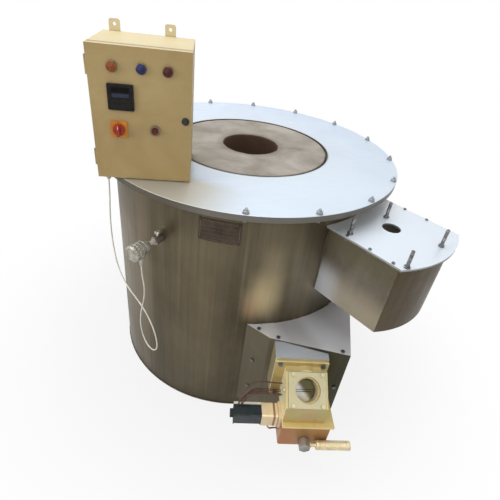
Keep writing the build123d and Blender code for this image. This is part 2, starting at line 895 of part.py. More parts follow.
with BuildPart() as burner_body:
    with BuildSketch(burner_face(nozzle_across, neck_front, nozzle_height)):
        RectangleRounded(flange_side, flange_side, 10)
        with GridLocations(flange_bolt_spacing, flange_bolt_spacing, 2, 2):
            Circle(flange_bolt_radius + hole_play, mode=Mode.SUBTRACT)
    extrude(amount=flange_thickness)
    with BuildSketch(burner_face(body_across, body_back, barrel_height)):
        Circle(barrel_radius)
    extrude(amount=inlet_centre[0] - body_back)
    with BuildSketch(burner_section(body_right)):
        with BuildLine():
            Polyline(
                (body_back, body_bottom),
                (inlet_front, body_bottom),
                inlet_foot,
                inlet_head,
                (body_back, inlet_head[1]),
                close=True,
            )
        make_face()
    extrude(amount=2 * body_half_width)
    with BuildSketch(inlet_face(0)):
        Rectangle(4 * body_half_width, 1.6 * inlet_plate_length)
    extrude(amount=inlet_plate_length, mode=Mode.SUBTRACT)
    with BuildSketch(inlet_face(0)):
        Circle(throat_radius)
    extrude(amount=-(flap_depth + throat_radius), mode=Mode.SUBTRACT)
    with BuildSketch(burner_face(nozzle_across, neck_front, nozzle_height)):
        Circle(tile_bore)
    extrude(amount=flap_centre[0] - neck_front, mode=Mode.SUBTRACT)
    with BuildSketch(burner_section(body_right + 1)):
        with Locations(flap_centre):
            Circle(flap_shaft_radius + running)
    extrude(amount=2 * body_half_width + 2, mode=Mode.SUBTRACT)
    with BuildSketch(inlet_face(0)):
        with PolarLocations(inlet_bolt_circle / 2, 4, start_angle=45):
            Circle(inlet_bolt_radius + hole_play)
    extrude(amount=-(inlet_bolt_grip + 3), mode=Mode.SUBTRACT)
    # ledge that carries the gas block
    with BuildSketch(burner_level(ledge_bottom)):
        with Locations((body_left + ledge_width / 2, -(body_back + ledge_front) / 2)):
            Rectangle(ledge_width, ledge_front - body_back)
    extrude(amount=ledge_thickness)
    # notches for the right hand flange nuts
    with BuildSketch(burner_face(nozzle_across, body_back, nozzle_height)):
        with GridLocations(flange_bolt_spacing, flange_bolt_spacing, 2, 2):
            with Locations((flange_nut_notch[0] / 2 - flange_nut_notch[1] / 2, 0)):
                Rectangle(flange_nut_notch[0], flange_nut_notch[1])
        with Locations((-flange_side / 2, 0)):
            Rectangle(flange_side, 2 * flange_side, mode=Mode.SUBTRACT)
    extrude(amount=flange_nut_notch[2], mode=Mode.SUBTRACT)
burner_body.part.label = "burner_body"
export_step(burner_body.part, "parts/burner_body.step")

with BuildPart() as inlet_plate:
    with BuildSketch(inlet_face(0)):
        RectangleRounded(inlet_plate_width, inlet_plate_length, 5)
        Circle(inlet_hole_radius, mode=Mode.SUBTRACT)
        with PolarLocations(inlet_bolt_circle / 2, 4, start_angle=45):
            Circle(inlet_bolt_radius + hole_play, mode=Mode.SUBTRACT)
    extrude(amount=inlet_plate_thickness)
    chamfer(inlet_plate.faces().sort_by(SortBy.AREA)[-1].outer_wire().edges(), length=1.5)
inlet_plate.part.label = "inlet_plate"
export_step(inlet_plate.part, "parts/inlet_plate.step")

with BuildPart() as burner_bolts:
    with BuildSketch(burner_face(nozzle_across, body_back, nozzle_height)):
        with GridLocations(flange_bolt_spacing, flange_bolt_spacing, 2, 2):
            RegularPolygon(flange_nut_width / 2, 6, major_radius=False)
    extrude(amount=flange_nut_height)
    with BuildSketch(burner_face(nozzle_across, body_back + flange_nut_height + 2, nozzle_height)):
        with GridLocations(flange_bolt_spacing, flange_bolt_spacing, 2, 2):
            Circle(flange_bolt_radius)
    extrude(amount=-(flange_thickness + neck_front_plate + flange_nut_height + 4))
    with BuildSketch(burner_face(nozzle_across, neck_front - neck_front_plate, nozzle_height)):
        with GridLocations(flange_bolt_spacing, flange_bolt_spacing, 2, 2):
            RegularPolygon(flange_nut_width / 2, 6, major_radius=False)
    extrude(amount=-flange_nut_height)
    with BuildSketch(inlet_face(-inlet_plate_thickness)):
        with PolarLocations(inlet_bolt_circle / 2, 4, start_angle=45):
            RegularPolygon(inlet_bolt_width / 2, 6, major_radius=False)
    extrude(amount=inlet_bolt_head)
    with BuildSketch(inlet_face(-inlet_plate_thickness)):
        with PolarLocations(inlet_bolt_circle / 2, 4, start_angle=45):
            Circle(inlet_bolt_radius)
    extrude(amount=-(inlet_plate_thickness + inlet_bolt_grip))
burner_bolts.part.label = "burner_bolts"
export_step(burner_bolts.part, "parts/burner_bolts.step")

# Air flap: a disc on a cross shaft, with its arm outside on the right
flap_plane = Plane(
    origin=burner_point(body_across, *flap_centre),
    x_dir=(*burner_side, 0),
    z_dir=(
        burner_out[0] * sin(radians(inlet_tilt + flap_rest_turn)),
        burner_out[1] * sin(radians(inlet_tilt + flap_rest_turn)),
        cos(radians(inlet_tilt + flap_rest_turn)),
    ),
)
flap_arm_left = body_right + flap_arm_gap

with BuildPart() as air_flap:
    with BuildSketch(flap_plane.offset(-flap_thickness / 2)):
        Circle(throat_radius - 2 * slip)
    extrude(amount=flap_thickness)
    with BuildSketch(burner_section(flap_arm_left + flap_arm_thickness + 4)):
        with Locations(flap_centre):
            Circle(flap_shaft_radius)
    extrude(amount=2 * body_half_width + flap_arm_gap + flap_arm_thickness + 8)
    with BuildSketch(burner_section(flap_arm_left + flap_arm_thickness)):
        with BuildLine():
            Polyline(
                (flap_centre[0] - 7, flap_centre[1]),
                (flap_centre[0] - 5, flap_centre[1] - flap_arm_length),
                (flap_centre[0] + 5, flap_centre[1] - flap_arm_length),
                (flap_centre[0] + 7, flap_centre[1]),
                close=True,
            )
        make_face()
        with Locations(flap_centre):
            Circle(10)
        with Locations((flap_centre[0], flap_centre[1] - flap_arm_length)):
            Circle(7)
            Circle(3, mode=Mode.SUBTRACT)
    extrude(amount=flap_arm_thickness)
air_flap.part.label = "air_flap"
export_step(air_flap.part, "parts/air_flap.step")

with BuildPart() as gas_block:
    with BuildSketch(burner_level(block_bottom)):
        with Locations((body_left + block_width / 2, -(block_back + block_front) / 2)):
            Rectangle(block_width, block_front - block_back)
    extrude(amount=ledge_bottom - block_bottom)
    chamfer(gas_block.edges().filter_by(Axis.Z), length=4)
    with BuildSketch(burner_face(cock_across, block_front, cock_height)):
        Circle(cock_stem_radius + running)
    extrude(amount=-(block_front - block_back) / 2, mode=Mode.SUBTRACT)
    with BuildSketch(burner_level(block_bottom)):
        with Locations((union_across, -(block_back + block_front) / 2)):
            Circle(union_bore)
    extrude(amount=40, mode=Mode.SUBTRACT)
gas_block.part.label = "gas_block"
export_step(gas_block.part, "parts/gas_block.step")

# Cock on the front of the gas block: a hub that turns its stem, and a lever across
hub_back = block_front + slip
hub_apothem = cock_hub_radius * cos(pi / 6)
lever_out = hub_back + cock_hub_length - lever_grip_radius
lever_arm_radius = 7.0
grip_start = lever_length - lever_grip_length


def burner_cross(across, out, height):
    # a plane that faces along the burner's right hand side
    return Plane(
        origin=burner_point(across, out, height),
        x_dir=(-burner_out[0], -burner_out[1], 0),
        z_dir=(*burner_side, 0),
    )


with BuildPart() as cock_hub:
    with BuildSketch(burner_face(cock_across, hub_back, cock_height)):
        RegularPolygon(cock_hub_radius, 6, rotation=30)
    extrude(amount=cock_hub_length)
    chamfer(cock_hub.edges().filter_by(GeomType.LINE), length=1.2)
    with BuildSketch(burner_face(cock_across, hub_back + 5, cock_height)):
        Circle(cock_stem_radius)
    extrude(amount=-(cock_stem_length + 5))
cock_hub.part.label = "cock_hub"
export_step(cock_hub.part, "parts/cock_hub.step")

with BuildPart() as cock_lever:
    with BuildSketch(burner_cross(cock_across + hub_apothem, lever_out, cock_height)):
        Circle(lever_arm_radius)
    extrude(amount=grip_start - hub_apothem + 4)
    with BuildSketch(burner_cross(cock_across + grip_start, lever_out, cock_height)):
        Circle(lever_grip_radius)
    extrude(amount=lever_grip_length)
    chamfer(cock_lever.faces().sort_by(Axis(burner_point(0, 0, 0), (*burner_side, 0)))[-1].edges(), length=3)
cock_lever.part.label = "cock_lever"
export_step(cock_lever.part, "parts/cock_lever.step")

# Gas valve: body, gasket and flange against the block, coil in its yoke further left
valve_flange_left = body_left - valve_flange_thickness
valve_right = valve_flange_left - valve_gasket
valve_left = valve_right - valve_length
coil_right = valve_left - yoke_thickness
coil_left = coil_right - coil_length
yoke_left = coil_left - yoke_thickness


def valve_face(across):
    return burner_cross(across, valve_reach, valve_height)


with BuildPart() as valve_body:
    with BuildSketch(valve_face(valve_left)):
        RectangleRounded(valve_block, valve_block, 6)
    extrude(amount=valve_length)
    with BuildSketch(valve_face(valve_right)):
        Rectangle(valve_block - 6, valve_block - 6)
    extrude(amount=valve_gasket)
    with BuildSketch(valve_face(valve_flange_left)):
        Rectangle(valve_block + 8, valve_block)
    extrude(amount=valve_flange_thickness)
    with BuildSketch(valve_face(body_left)):
        Circle(union_bore)
    extrude(amount=-(valve_flange_thickness + valve_gasket + valve_length / 2), mode=Mode.SUBTRACT)
valve_body.part.label = "valve_body"
export_step(valve_body.part, "parts/valve_body.step")

with BuildPart() as coil_yoke:
    for across in (coil_right, yoke_left):
        with BuildSketch(valve_face(across)):
            Rectangle(coil_side, coil_side)
        extrude(amount=yoke_thickness)
    with BuildSketch(valve_face(yoke_left)):
        with Locations((0, coil_side / 2 + yoke_thickness / 2)):
            Rectangle(coil_side, yoke_thickness)
    extrude(amount=coil_length + 2 * yoke_thickness)
    # the core through the coil, with its nut
    with BuildSketch(valve_face(yoke_left)):
        Circle(coil_core_radius - slip)
    extrude(amount=coil_length + 2 * yoke_thickness)
    with BuildSketch(valve_face(yoke_left - coil_nut_length)):
        RegularPolygon(coil_nut_width / 2, 6, major_radius=False)
    extrude(amount=coil_nut_length)
coil_yoke.part.label = "coil_yoke"
export_step(coil_yoke.part, "parts/coil_yoke.step")

with BuildPart() as valve_coil:
    with BuildSketch(valve_face(coil_left)):
        RectangleRounded(coil_side - 2, coil_side - 2 * slip, 5)
        Circle(coil_core_radius, mode=Mode.SUBTRACT)
    extrude(amount=coil_length)
valve_coil.part.label = "valve_coil"
export_step(valve_coil.part, "parts/valve_coil.step")


# Wires and tubes that the burner holds at both ends
def tangent_radii(points, share=0.45):
    # the largest even radius at each corner of a route of straight runs
    radii = []
    for before, corner, after in zip(points, points[1:], points[2:]):
        run_in = Vector(*corner) - Vector(*before)
        run_out = Vector(*after) - Vector(*corner)
        half_turn = radians(run_in.get_angle(run_out)) / 2
        radii.append(share * min(run_in.length, run_out.length) / (sin(half_turn) / cos(half_turn)))
    return radii


def sweep_tube(points, radius):
    with BuildLine() as route:
        FilletPolyline(*points, radius=tangent_radii(points))
    with BuildSketch(Plane(origin=route.line @ 0, z_dir=route.line % 0)) as section:
        Circle(radius)
    sweep(section.sketch, path=route.line)
    return sum(edge.length for edge in route.edges())


coil_top = valve_height + coil_side / 2 + yoke_thickness
wire_start = coil_left + 26
wire_route = [
    burner_point(wire_start, valve_reach - 8, coil_top),
    burner_point(wire_start, valve_reach - 8, coil_top + 22),
    burner_point(wire_start + 18, valve_reach - 18, coil_top + 46),
    burner_point(wire_start + 52, valve_reach - 26, coil_top + 54),
    burner_point(wire_start + 88, valve_reach - 34, coil_top + 44),
    burner_point(body_left - 26, valve_reach - 36, coil_top + 36),
    burner_point(body_left, valve_reach - 36, coil_top + 36),
]
second_route = [
    burner_point(wire_start - 12, valve_reach - 12, coil_top),
    burner_point(wire_start - 12, valve_reach - 12, coil_top + 20),
    burner_point(wire_start - 2, valve_reach - 34, coil_top + 42),
    burner_point(wire_start + 26, valve_reach - 58, coil_top + 62),
    burner_point(wire_start + 66, valve_reach - 66, coil_top + 70),
    burner_point(body_left - 26, valve_reach - 66, coil_top + 62),
    burner_point(body_left, valve_reach - 66, coil_top + 62),
]
with BuildPart() as valve_wires:
    sweep_tube(wire_route, valve_wire_radius)
    sweep_tube(second_route, valve_wire_radius)
valve_wires.part.label = "valve_wires"
export_step(valve_wires.part, "parts/valve_wires.step")

pilot_radius = 3.0
pilot_across = valve_left + valve_length / 2
pilot_route = [
    burner_point(pilot_across, valve_reach + 10, valve_height - valve_block / 2),
    burner_point(pilot_across, valve_reach + 10, valve_height - valve_block / 2 - 26),
    burner_point(pilot_across + 12, valve_reach + 6, valve_height - valve_block / 2 - 52),
    burner_point(body_left - 16, valve_reach, block_bottom + 20),
    burner_point(body_left, valve_reach, block_bottom + 20),
]
with BuildPart() as gas_fittings:
    # union under the block
    with BuildSketch(burner_level(block_bottom)):
        with Locations((union_across, -(block_back + block_front) / 2)):
            RegularPolygon(union_radius, 6, major_radius=False)
            Circle(union_bore, mode=Mode.SUBTRACT)
    extrude(amount=-union_length / 2)
    with BuildSketch(burner_level(block_bottom - union_length / 2)):
        with Locations((union_across, -(block_back + block_front) / 2)):
            Circle(union_radius - union_collar)
            Circle(union_bore, mode=Mode.SUBTRACT)
    extrude(amount=-union_length / 2)
    # pilot tube from the valve to the block
    sweep_tube(pilot_route, pilot_radius)
gas_fittings.part.label = "gas_fittings"
export_step(gas_fittings.part, "parts/gas_fittings.step")

# Thermocouple
thumb_plane = Plane(origin=couple_face(thumb_screw_reach).origin, x_dir=(*couple_out, 0), z_dir=(0, 0, 1))

with BuildPart() as couple_socket:
    with BuildSketch(couple_face(-1)):
        Circle(socket_radius)
        Circle(sheath_radius + slip, mode=Mode.SUBTRACT)
    extrude(amount=socket_length)
    with BuildSketch(level(couple_height - 2 * socket_radius)):
        Circle(shell_radius + slip)
    extrude(amount=4 * socket_radius, mode=Mode.SUBTRACT)
    with BuildSketch(thumb_plane):
        Circle(thumb_screw_radius + running)
    extrude(amount=2 * socket_radius, mode=Mode.SUBTRACT)
couple_socket.part.label = "couple_socket"
export_step(couple_socket.part, "parts/couple_socket.step")

with BuildPart() as couple_sheath:
    with BuildSketch(couple_face(chamber_radius - shell_radius - 30)):
        Circle(sheath_radius)
    extrude(amount=head_start - chamber_radius + shell_radius + 30)
couple_sheath.part.label = "couple_sheath"
export_step(couple_sheath.part, "parts/couple_sheath.step")

with BuildPart() as thumb_screw:
    with BuildSketch(thumb_plane.offset(sheath_radius)):
        Circle(thumb_screw_radius)
    extrude(amount=socket_radius + 4)
    with BuildSketch(thumb_plane.offset(sheath_radius + socket_radius + 2)):
        RegularPolygon(thumb_knob_radius, 12)
    extrude(amount=9)
thumb_screw.part.label = "thumb_screw"
export_step(thumb_screw.part, "parts/thumb_screw.step")

gland_top = couple_height - head_radius - 4
gland_plane = Plane(
    origin=(*on_circle(shell_radius + gland_start, couple_angle), gland_top),
    x_dir=(*couple_out, 0),
    z_dir=(0, 0, -1),
)

with BuildPart() as couple_head:
    with BuildSketch(couple_face(head_start)):
        Circle(head_radius)
    extrude(amount=head_length)
    fillet(couple_head.faces().sort_by(Axis((0, 0, 0), (*couple_out, 0)))[0].edges(), radius=7)
    with BuildSketch(gland_plane):
        Circle(gland_radius + 3)
    extrude(amount=-head_radius)
    with BuildSketch(couple_face(head_start + head_floor)):
        Circle(head_radius - head_wall)
    extrude(amount=head_length, mode=Mode.SUBTRACT)
couple_head.part.label = "couple_head"
export_step(couple_head.part, "parts/couple_head.step")

with BuildPart() as couple_lid:
    with BuildSketch(couple_face(head_start + head_length)):
        Circle(lid_radius)
    extrude(amount=lid_thickness)
    fillet(couple_lid.faces().sort_by(Axis((0, 0, 0), (*couple_out, 0)))[-1].edges(), radius=8)
    with BuildSketch(couple_face(head_start + head_length)):
        Circle(head_radius - head_wall)
    extrude(amount=lid_thickness / 3, mode=Mode.SUBTRACT)
couple_lid.part.label = "couple_lid"
export_step(couple_lid.part, "parts/couple_lid.step")

lead_radius = 2.5

with BuildPart() as cable_glands:
    # under the thermocouple head
    with BuildSketch(gland_plane):
        RegularPolygon(gland_radius, 6)
    extrude(amount=gland_length / 2)
    with BuildSketch(gland_plane.offset(gland_length / 2)):
        Circle(gland_radius - 2)
    extrude(amount=gland_length / 2, taper=8)
    # in the floor of the cabinet
    with BuildSketch(cabinet_level(-cabinet_gland_nut)):
        with Locations(cabinet_gland_place):
            RegularPolygon(gland_radius, 6)
            Circle(lead_radius + slip, mode=Mode.SUBTRACT)
    extrude(amount=cabinet_gland_nut)
    with BuildSketch(cabinet_level(-cabinet_gland_drop)):
        with Locations(cabinet_gland_place):
            Circle(gland_radius - 2 - slip)
            Circle(lead_radius + slip, mode=Mode.SUBTRACT)
    extrude(amount=cabinet_gland_drop + cabinet_gland_nut)
cable_glands.part.label = "cable_glands"
export_step(cable_glands.part, "parts/cable_glands.step")

# Nameplate, left bare, with its four rivet heads
plate_half_turn = degrees(plate_width / 2 / shell_radius)
rivet_turn = plate_half_turn - degrees(plate_rivet_inset / shell_radius)
rivet_seats = [
    (plate_angle + side * rivet_turn, height)
    for side in (-1, 1)
    for height in (plate_low + plate_rivet_inset, plate_high - plate_rivet_inset)
]


def shell_seat(angle, height, reach):
    out = on_circle(1, angle)
    origin = (*on_circle(shell_radius + reach, angle), height)
    return Plane(origin=origin, x_dir=(-out[1], out[0], 0), z_dir=(*out, 0))


with BuildPart() as nameplate:
    with BuildSketch(level(plate_low)):
        Circle(shell_radius + slip + plate_thickness)
        Circle(shell_radius + slip, mode=Mode.SUBTRACT)
    extrude(amount=plate_high - plate_low)
    with BuildSketch(shell_seat(plate_angle, (plate_low + plate_high) / 2, -shell_radius / 2)):
        RectangleRounded(plate_width, plate_high - plate_low, 4)
    extrude(amount=shell_radius, mode=Mode.INTERSECT)
    for angle, height in rivet_seats:
        with BuildSketch(shell_seat(angle, height, plate_thickness)):
            Circle(plate_rivet_radius)
        extrude(amount=plate_rivet_height)
nameplate.part.label = "nameplate"
export_step(nameplate.part, "parts/nameplate.step")

# Control cabinet
body_front = door_fold + door_seam
inner_front = body_front + cabinet_wall
inner_back = cabinet_depth - cabinet_wall
cabinet_middle = cabinet_width / 2
opening_edge = cabinet_wall + cabinet_lip


def cabinet_block(across_from, across_to, back_from, back_to):
    # a rectangle in a cabinet_level sketch, given by its edges
    with Locations(((across_from + across_to) / 2, (back_from + back_to) / 2)):
        return Rectangle(across_to - across_from, back_to - back_from)


# Hinges: a body knuckle below, a door knuckle above, one pin through both
hinge_axis = (-hinge_offset, body_front - 1)

# Front frame of the cabinet: the lip that the door's seal presses on
with BuildPart() as cabinet_frame:
    with BuildSketch(cabinet_face(inner_front)):
        with Locations((cabinet_middle, cabinet_height / 2)):
            Rectangle(cabinet_width, cabinet_height)
            Rectangle(
                cabinet_width - 2 * opening_edge, cabinet_height - 2 * opening_edge, mode=Mode.SUBTRACT
            )
    extrude(amount=inner_front - body_front)
cabinet_frame.part.label = "cabinet_frame"
export_step(cabinet_frame.part, "parts/cabinet_frame.step")

with BuildPart() as cabinet_body:
    with BuildSketch(cabinet_level(0)):
        cabinet_block(0, cabinet_width, inner_front, cabinet_depth)
    extrude(amount=cabinet_height)
    with BuildSketch(cabinet_level(cabinet_wall)):
        cabinet_block(cabinet_wall, cabinet_width - cabinet_wall, inner_front, inner_back)
    extrude(amount=cabinet_height - 2 * cabinet_wall, mode=Mode.SUBTRACT)
    with BuildSketch(cabinet_level(0)):
        with Locations(cabinet_gland_place):
            Circle(gland_radius - 2)
        with Locations(*cabinet_screw_places):
            Circle(cabinet_screw_radius + hole_play)
    extrude(amount=2 * cabinet_wall, mode=Mode.SUBTRACT)
    # wall lugs on the back
    with BuildSketch(cabinet_face(cabinet_depth)):
        for place in lug_places:
            with Locations((place + lug_width / 2, cabinet_height + (lug_height - lug_foot) / 2)):
                RectangleRounded(lug_width, lug_height + lug_foot, 8)
            with Locations((place + lug_width / 2, cabinet_height + lug_height / 2 + 2)):
                Circle(lug_hole_radius, mode=Mode.SUBTRACT)
    extrude(amount=-lug_thickness)
    for height in hinge_heights:
        with BuildSketch(cabinet_level(height - hinge_knuckle_length)):
            cabinet_block(
                -hinge_offset - hinge_knuckle_radius / 2,
                0,
                hinge_axis[1],
                hinge_axis[1] + hinge_knuckle_radius,
            )
            cabinet_block(-hinge_leaf, 0, body_front, body_front + hinge_leaf_length)
            with Locations(hinge_axis):
                Circle(hinge_knuckle_radius)
                Circle(hinge_pin_radius, mode=Mode.SUBTRACT)
        extrude(amount=hinge_knuckle_length)
cabinet_body.part.label = "cabinet_body"
export_step(cabinet_body.part, "parts/cabinet_body.step")

# Cabinet door and what it carries
door_holes = [
    (lamp_places, lamp_neck_radius),
    ((switch_place,), switch_shaft_radius + 4),
    ((button_place,), button_body_radius + slip),
    ((lock_place,), lock_housing_radius - 1.5),
]
with BuildPart() as cabinet_door:
    with BuildSketch(cabinet_level(door_floor_gap)):
        cabinet_block(0, cabinet_width, 0, door_fold)
    extrude(amount=cabinet_height - door_floor_gap)
    with BuildSketch(cabinet_level(door_floor_gap + door_thickness)):
        cabinet_block(door_thickness, cabinet_width - door_thickness, door_thickness, door_fold + 1)
    extrude(amount=cabinet_height - door_floor_gap - 2 * door_thickness, mode=Mode.SUBTRACT)
    with BuildSketch(cabinet_face(0)):
        for places, radius in door_holes:
            with Locations(*places):
                Circle(radius)
        with Locations(controller_place):
            Rectangle(controller_body + 1, controller_body + 1)
    extrude(amount=-2 * door_thickness, mode=Mode.SUBTRACT)
    for height in hinge_heights:
        with BuildSketch(cabinet_level(height + slip)):
            cabinet_block(-hinge_leaf, 0, door_fold - hinge_leaf_length + 4, door_fold)
            cabinet_block(-hinge_offset - hinge_knuckle_radius / 2, 0, door_fold - 4, door_fold)
            with Locations(hinge_axis):
                Circle(hinge_knuckle_radius)
                Circle(hinge_pin_radius + running, mode=Mode.SUBTRACT)
        extrude(amount=hinge_knuckle_length)
cabinet_door.part.label = "cabinet_door"
export_step(cabinet_door.part, "parts/cabinet_door.step")

gasket_inset = 4.0
gasket_width = 6.0
gasket_middle = (cabinet_middle, (cabinet_height + door_floor_gap) / 2)
gasket_outer = (cabinet_width - 2 * gasket_inset, cabinet_height - door_floor_gap - 2 * gasket_inset)
with BuildPart() as door_gasket:
    with BuildSketch(cabinet_face(door_thickness)):
        with Locations(gasket_middle):
            Rectangle(*gasket_outer)
            Rectangle(*[side - 2 * gasket_width for side in gasket_outer], mode=Mode.SUBTRACT)
    extrude(amount=-(body_front - door_thickness - slip))
door_gasket.part.label = "door_gasket"
export_step(door_gasket.part, "parts/door_gasket.step")

with BuildPart() as hinge_pins:
    for height in hinge_heights:
        with BuildSketch(cabinet_level(height - hinge_knuckle_length)):
            with Locations(hinge_axis):
                Circle(hinge_pin_radius)
        extrude(amount=2 * hinge_knuckle_length + 2 * slip)
        with BuildSketch(cabinet_level(height + hinge_knuckle_length + 2 * slip)):
            with Locations(hinge_axis):
                Circle(hinge_knuckle_radius - 0.5)
        extrude(amount=hinge_head)
hinge_pins.part.label = "hinge_pins"
export_step(hinge_pins.part, "parts/hinge_pins.step")

# Door fittings, from the front face inwards
with BuildPart() as fitting_bezels:
    with BuildSketch(cabinet_face(0)):
        with Locations(*lamp_places):
            Circle(lamp_bezel_radius)
            Circle(lamp_lens_radius + slip, mode=Mode.SUBTRACT)
    extrude(amount=7)
    chamfer(fitting_bezels.faces().sort_by(Axis((0, 0, 0), (*cabinet_back, 0)))[0:3].edges(), length=1.2)
    with BuildSketch(cabinet_face(door_thickness + 0.5)):
        with Locations(*lamp_places):
            Circle(lamp_bezel_radius - 2)
            Circle(lamp_neck_radius, mode=Mode.SUBTRACT)
    extrude(amount=-8)
    # the push button's ring and its body behind the door
    with BuildSketch(cabinet_face(0)):
        with Locations(button_place):
            Circle(button_bezel_radius)
            Circle(button_cap_radius + slip, mode=Mode.SUBTRACT)
    extrude(amount=button_bezel_height)
    with BuildSketch(cabinet_face(0)):
        with Locations(button_place):
            Circle(button_body_radius)
            Circle(button_stem_radius + running, mode=Mode.SUBTRACT)
    extrude(amount=-button_body_depth)
fitting_bezels.part.label = "fitting_bezels"
export_step(fitting_bezels.part, "parts/fitting_bezels.step")

for lamp_name, place in zip(("amber_lamp", "blue_lamp", "red_lamp"), lamp_places):
    with BuildPart() as lamp:
        with BuildSketch(cabinet_face(0)):
            with Locations(place):
                Circle(lamp_lens_radius)
        extrude(amount=lamp_lens_proud)
        fillet(lamp.faces().sort_by(Axis((0, 0, 0), (*cabinet_back, 0)))[0].edges(), radius=5)
        with BuildSketch(cabinet_face(0)):
            with Locations(place):
                Circle(lamp_neck_radius - slip)
        extrude(amount=-lamp_body_depth)
    lamp.part.label = lamp_name
    export_step(lamp.part, f"parts/{lamp_name}.step")

window_side = (54.0, 34.0)
window_rise = 12.0
with BuildPart() as controller:
    with BuildSketch(cabinet_face(0)):
        with Locations(controller_place):
            RectangleRounded(controller_side, controller_side, 3)
    extrude(amount=7)
    with BuildSketch(cabinet_face(0)):
        with Locations(controller_place):
            Rectangle(controller_body, controller_body)
    extrude(amount=-controller_depth)
    with BuildSketch(cabinet_face(-7)):
        with Locations((controller_place[0], controller_place[1] + window_rise)):
            Rectangle(*window_side)
    extrude(amount=-2, mode=Mode.SUBTRACT)
controller.part.label = "controller"
export_step(controller.part, "parts/controller.step")

with BuildPart() as controller_window:
    with BuildSketch(cabinet_face(-5)):
        with Locations((controller_place[0], controller_place[1] + window_rise)):
            Rectangle(window_side[0] - 2 * slip, window_side[1] - 2 * slip)
    extrude(amount=1.6)
controller_window.part.label = "controller_window"
export_step(controller_window.part, "parts/controller_window.step")

with BuildPart() as switch_plate:
    with BuildSketch(cabinet_face(0)):
        with Locations(switch_place):
            RectangleRounded(switch_plate_side, switch_plate_side, 3)
            Circle(switch_shaft_radius + running, mode=Mode.SUBTRACT)
    extrude(amount=switch_plate_thickness)
    with BuildSketch(cabinet_face(-switch_plate_thickness)):
        with Locations(switch_place):
            Circle(switch_knob_radius + 3)
            Circle(switch_shaft_radius + running, mode=Mode.SUBTRACT)
    extrude(amount=switch_disc_thickness)
    # neck through the door and the switch body behind it
    with BuildSketch(cabinet_face(0)):
        with Locations(switch_place):
            Circle(switch_shaft_radius + 4 - slip)
            Circle(switch_shaft_radius + running, mode=Mode.SUBTRACT)
    extrude(amount=-door_thickness)
    with BuildSketch(cabinet_face(door_thickness)):
        with Locations(switch_place):
            RectangleRounded(switch_plate_side - 4, switch_plate_side - 4, 3)
            Circle(switch_shaft_radius + running, mode=Mode.SUBTRACT)
    extrude(amount=-switch_body_depth)
switch_plate.part.label = "switch_plate"
export_step(switch_plate.part, "parts/switch_plate.step")

switch_knob_back = switch_plate_thickness + switch_disc_thickness + slip
with BuildPart() as switch_knob:
    with BuildSketch(cabinet_face(-switch_knob_back)):
        with Locations(switch_place):
            Circle(switch_knob_radius)
    extrude(amount=switch_knob_depth)
    with BuildSketch(cabinet_face(-switch_knob_back - switch_knob_depth)):
        with Locations(switch_place):
            SlotOverall(2 * switch_knob_radius - 1, switch_grip_width)
    extrude(amount=switch_grip_height)
    with BuildSketch(cabinet_face(-switch_knob_back)):
        with Locations(switch_place):
            Circle(switch_shaft_radius)
    extrude(amount=-(switch_knob_back + switch_shaft_depth))
switch_knob.part.label = "switch_knob"
export_step(switch_knob.part, "parts/switch_knob.step")

with BuildPart() as button_cap:
    with BuildSketch(cabinet_face(-button_travel - slip)):
        with Locations(button_place):
            Circle(button_cap_radius)
    extrude(amount=button_cap_proud - button_travel)
    with BuildSketch(cabinet_face(-button_travel - slip)):
        with Locations(button_place):
            Circle(button_stem_radius)
    extrude(amount=-(button_travel + 20))
button_cap.part.label = "button_cap"
export_step(button_cap.part, "parts/button_cap.step")

tongue_front = inner_front + 1.0
tongue_reach = cabinet_width - cabinet_wall - 5.0 - lock_place[0]
with BuildPart() as lock_housing:
    with BuildSketch(cabinet_face(0)):
        with Locations(lock_place):
            Circle(lock_housing_radius)
            Circle(lock_shaft_radius + running, mode=Mode.SUBTRACT)
    extrude(amount=lock_collar)
    with BuildSketch(cabinet_face(0)):
        with Locations(lock_place):
            Circle(lock_housing_radius - 1.5)
            Circle(lock_shaft_radius + running, mode=Mode.SUBTRACT)
    extrude(amount=-(tongue_front - 0.5))
lock_housing.part.label = "lock_housing"
export_step(lock_housing.part, "parts/lock_housing.step")

with BuildPart() as lock_knob:
    with BuildSketch(cabinet_face(tongue_front + tongue_thickness + 1)):
        with Locations(lock_place):
            Circle(lock_shaft_radius)
    extrude(amount=tongue_front + tongue_thickness + lock_collar + lock_grip[2] / 2)
    with BuildSketch(cabinet_face(-lock_collar - slip)):
        with Locations(lock_place):
            SlotOverall(lock_grip[0], lock_grip[1], rotation=90)
    extrude(amount=lock_grip[2])
    with BuildSketch(cabinet_face(tongue_front + tongue_thickness)):
        with Locations((lock_place[0], lock_place[1] - tongue_reach / 2)):
            Rectangle(tongue_width, tongue_reach)
        with Locations(lock_place):
            Circle(lock_shaft_radius + 2)
    extrude(amount=tongue_thickness)
lock_knob.part.label = "lock_knob"
export_step(lock_knob.part, "parts/lock_knob.step")

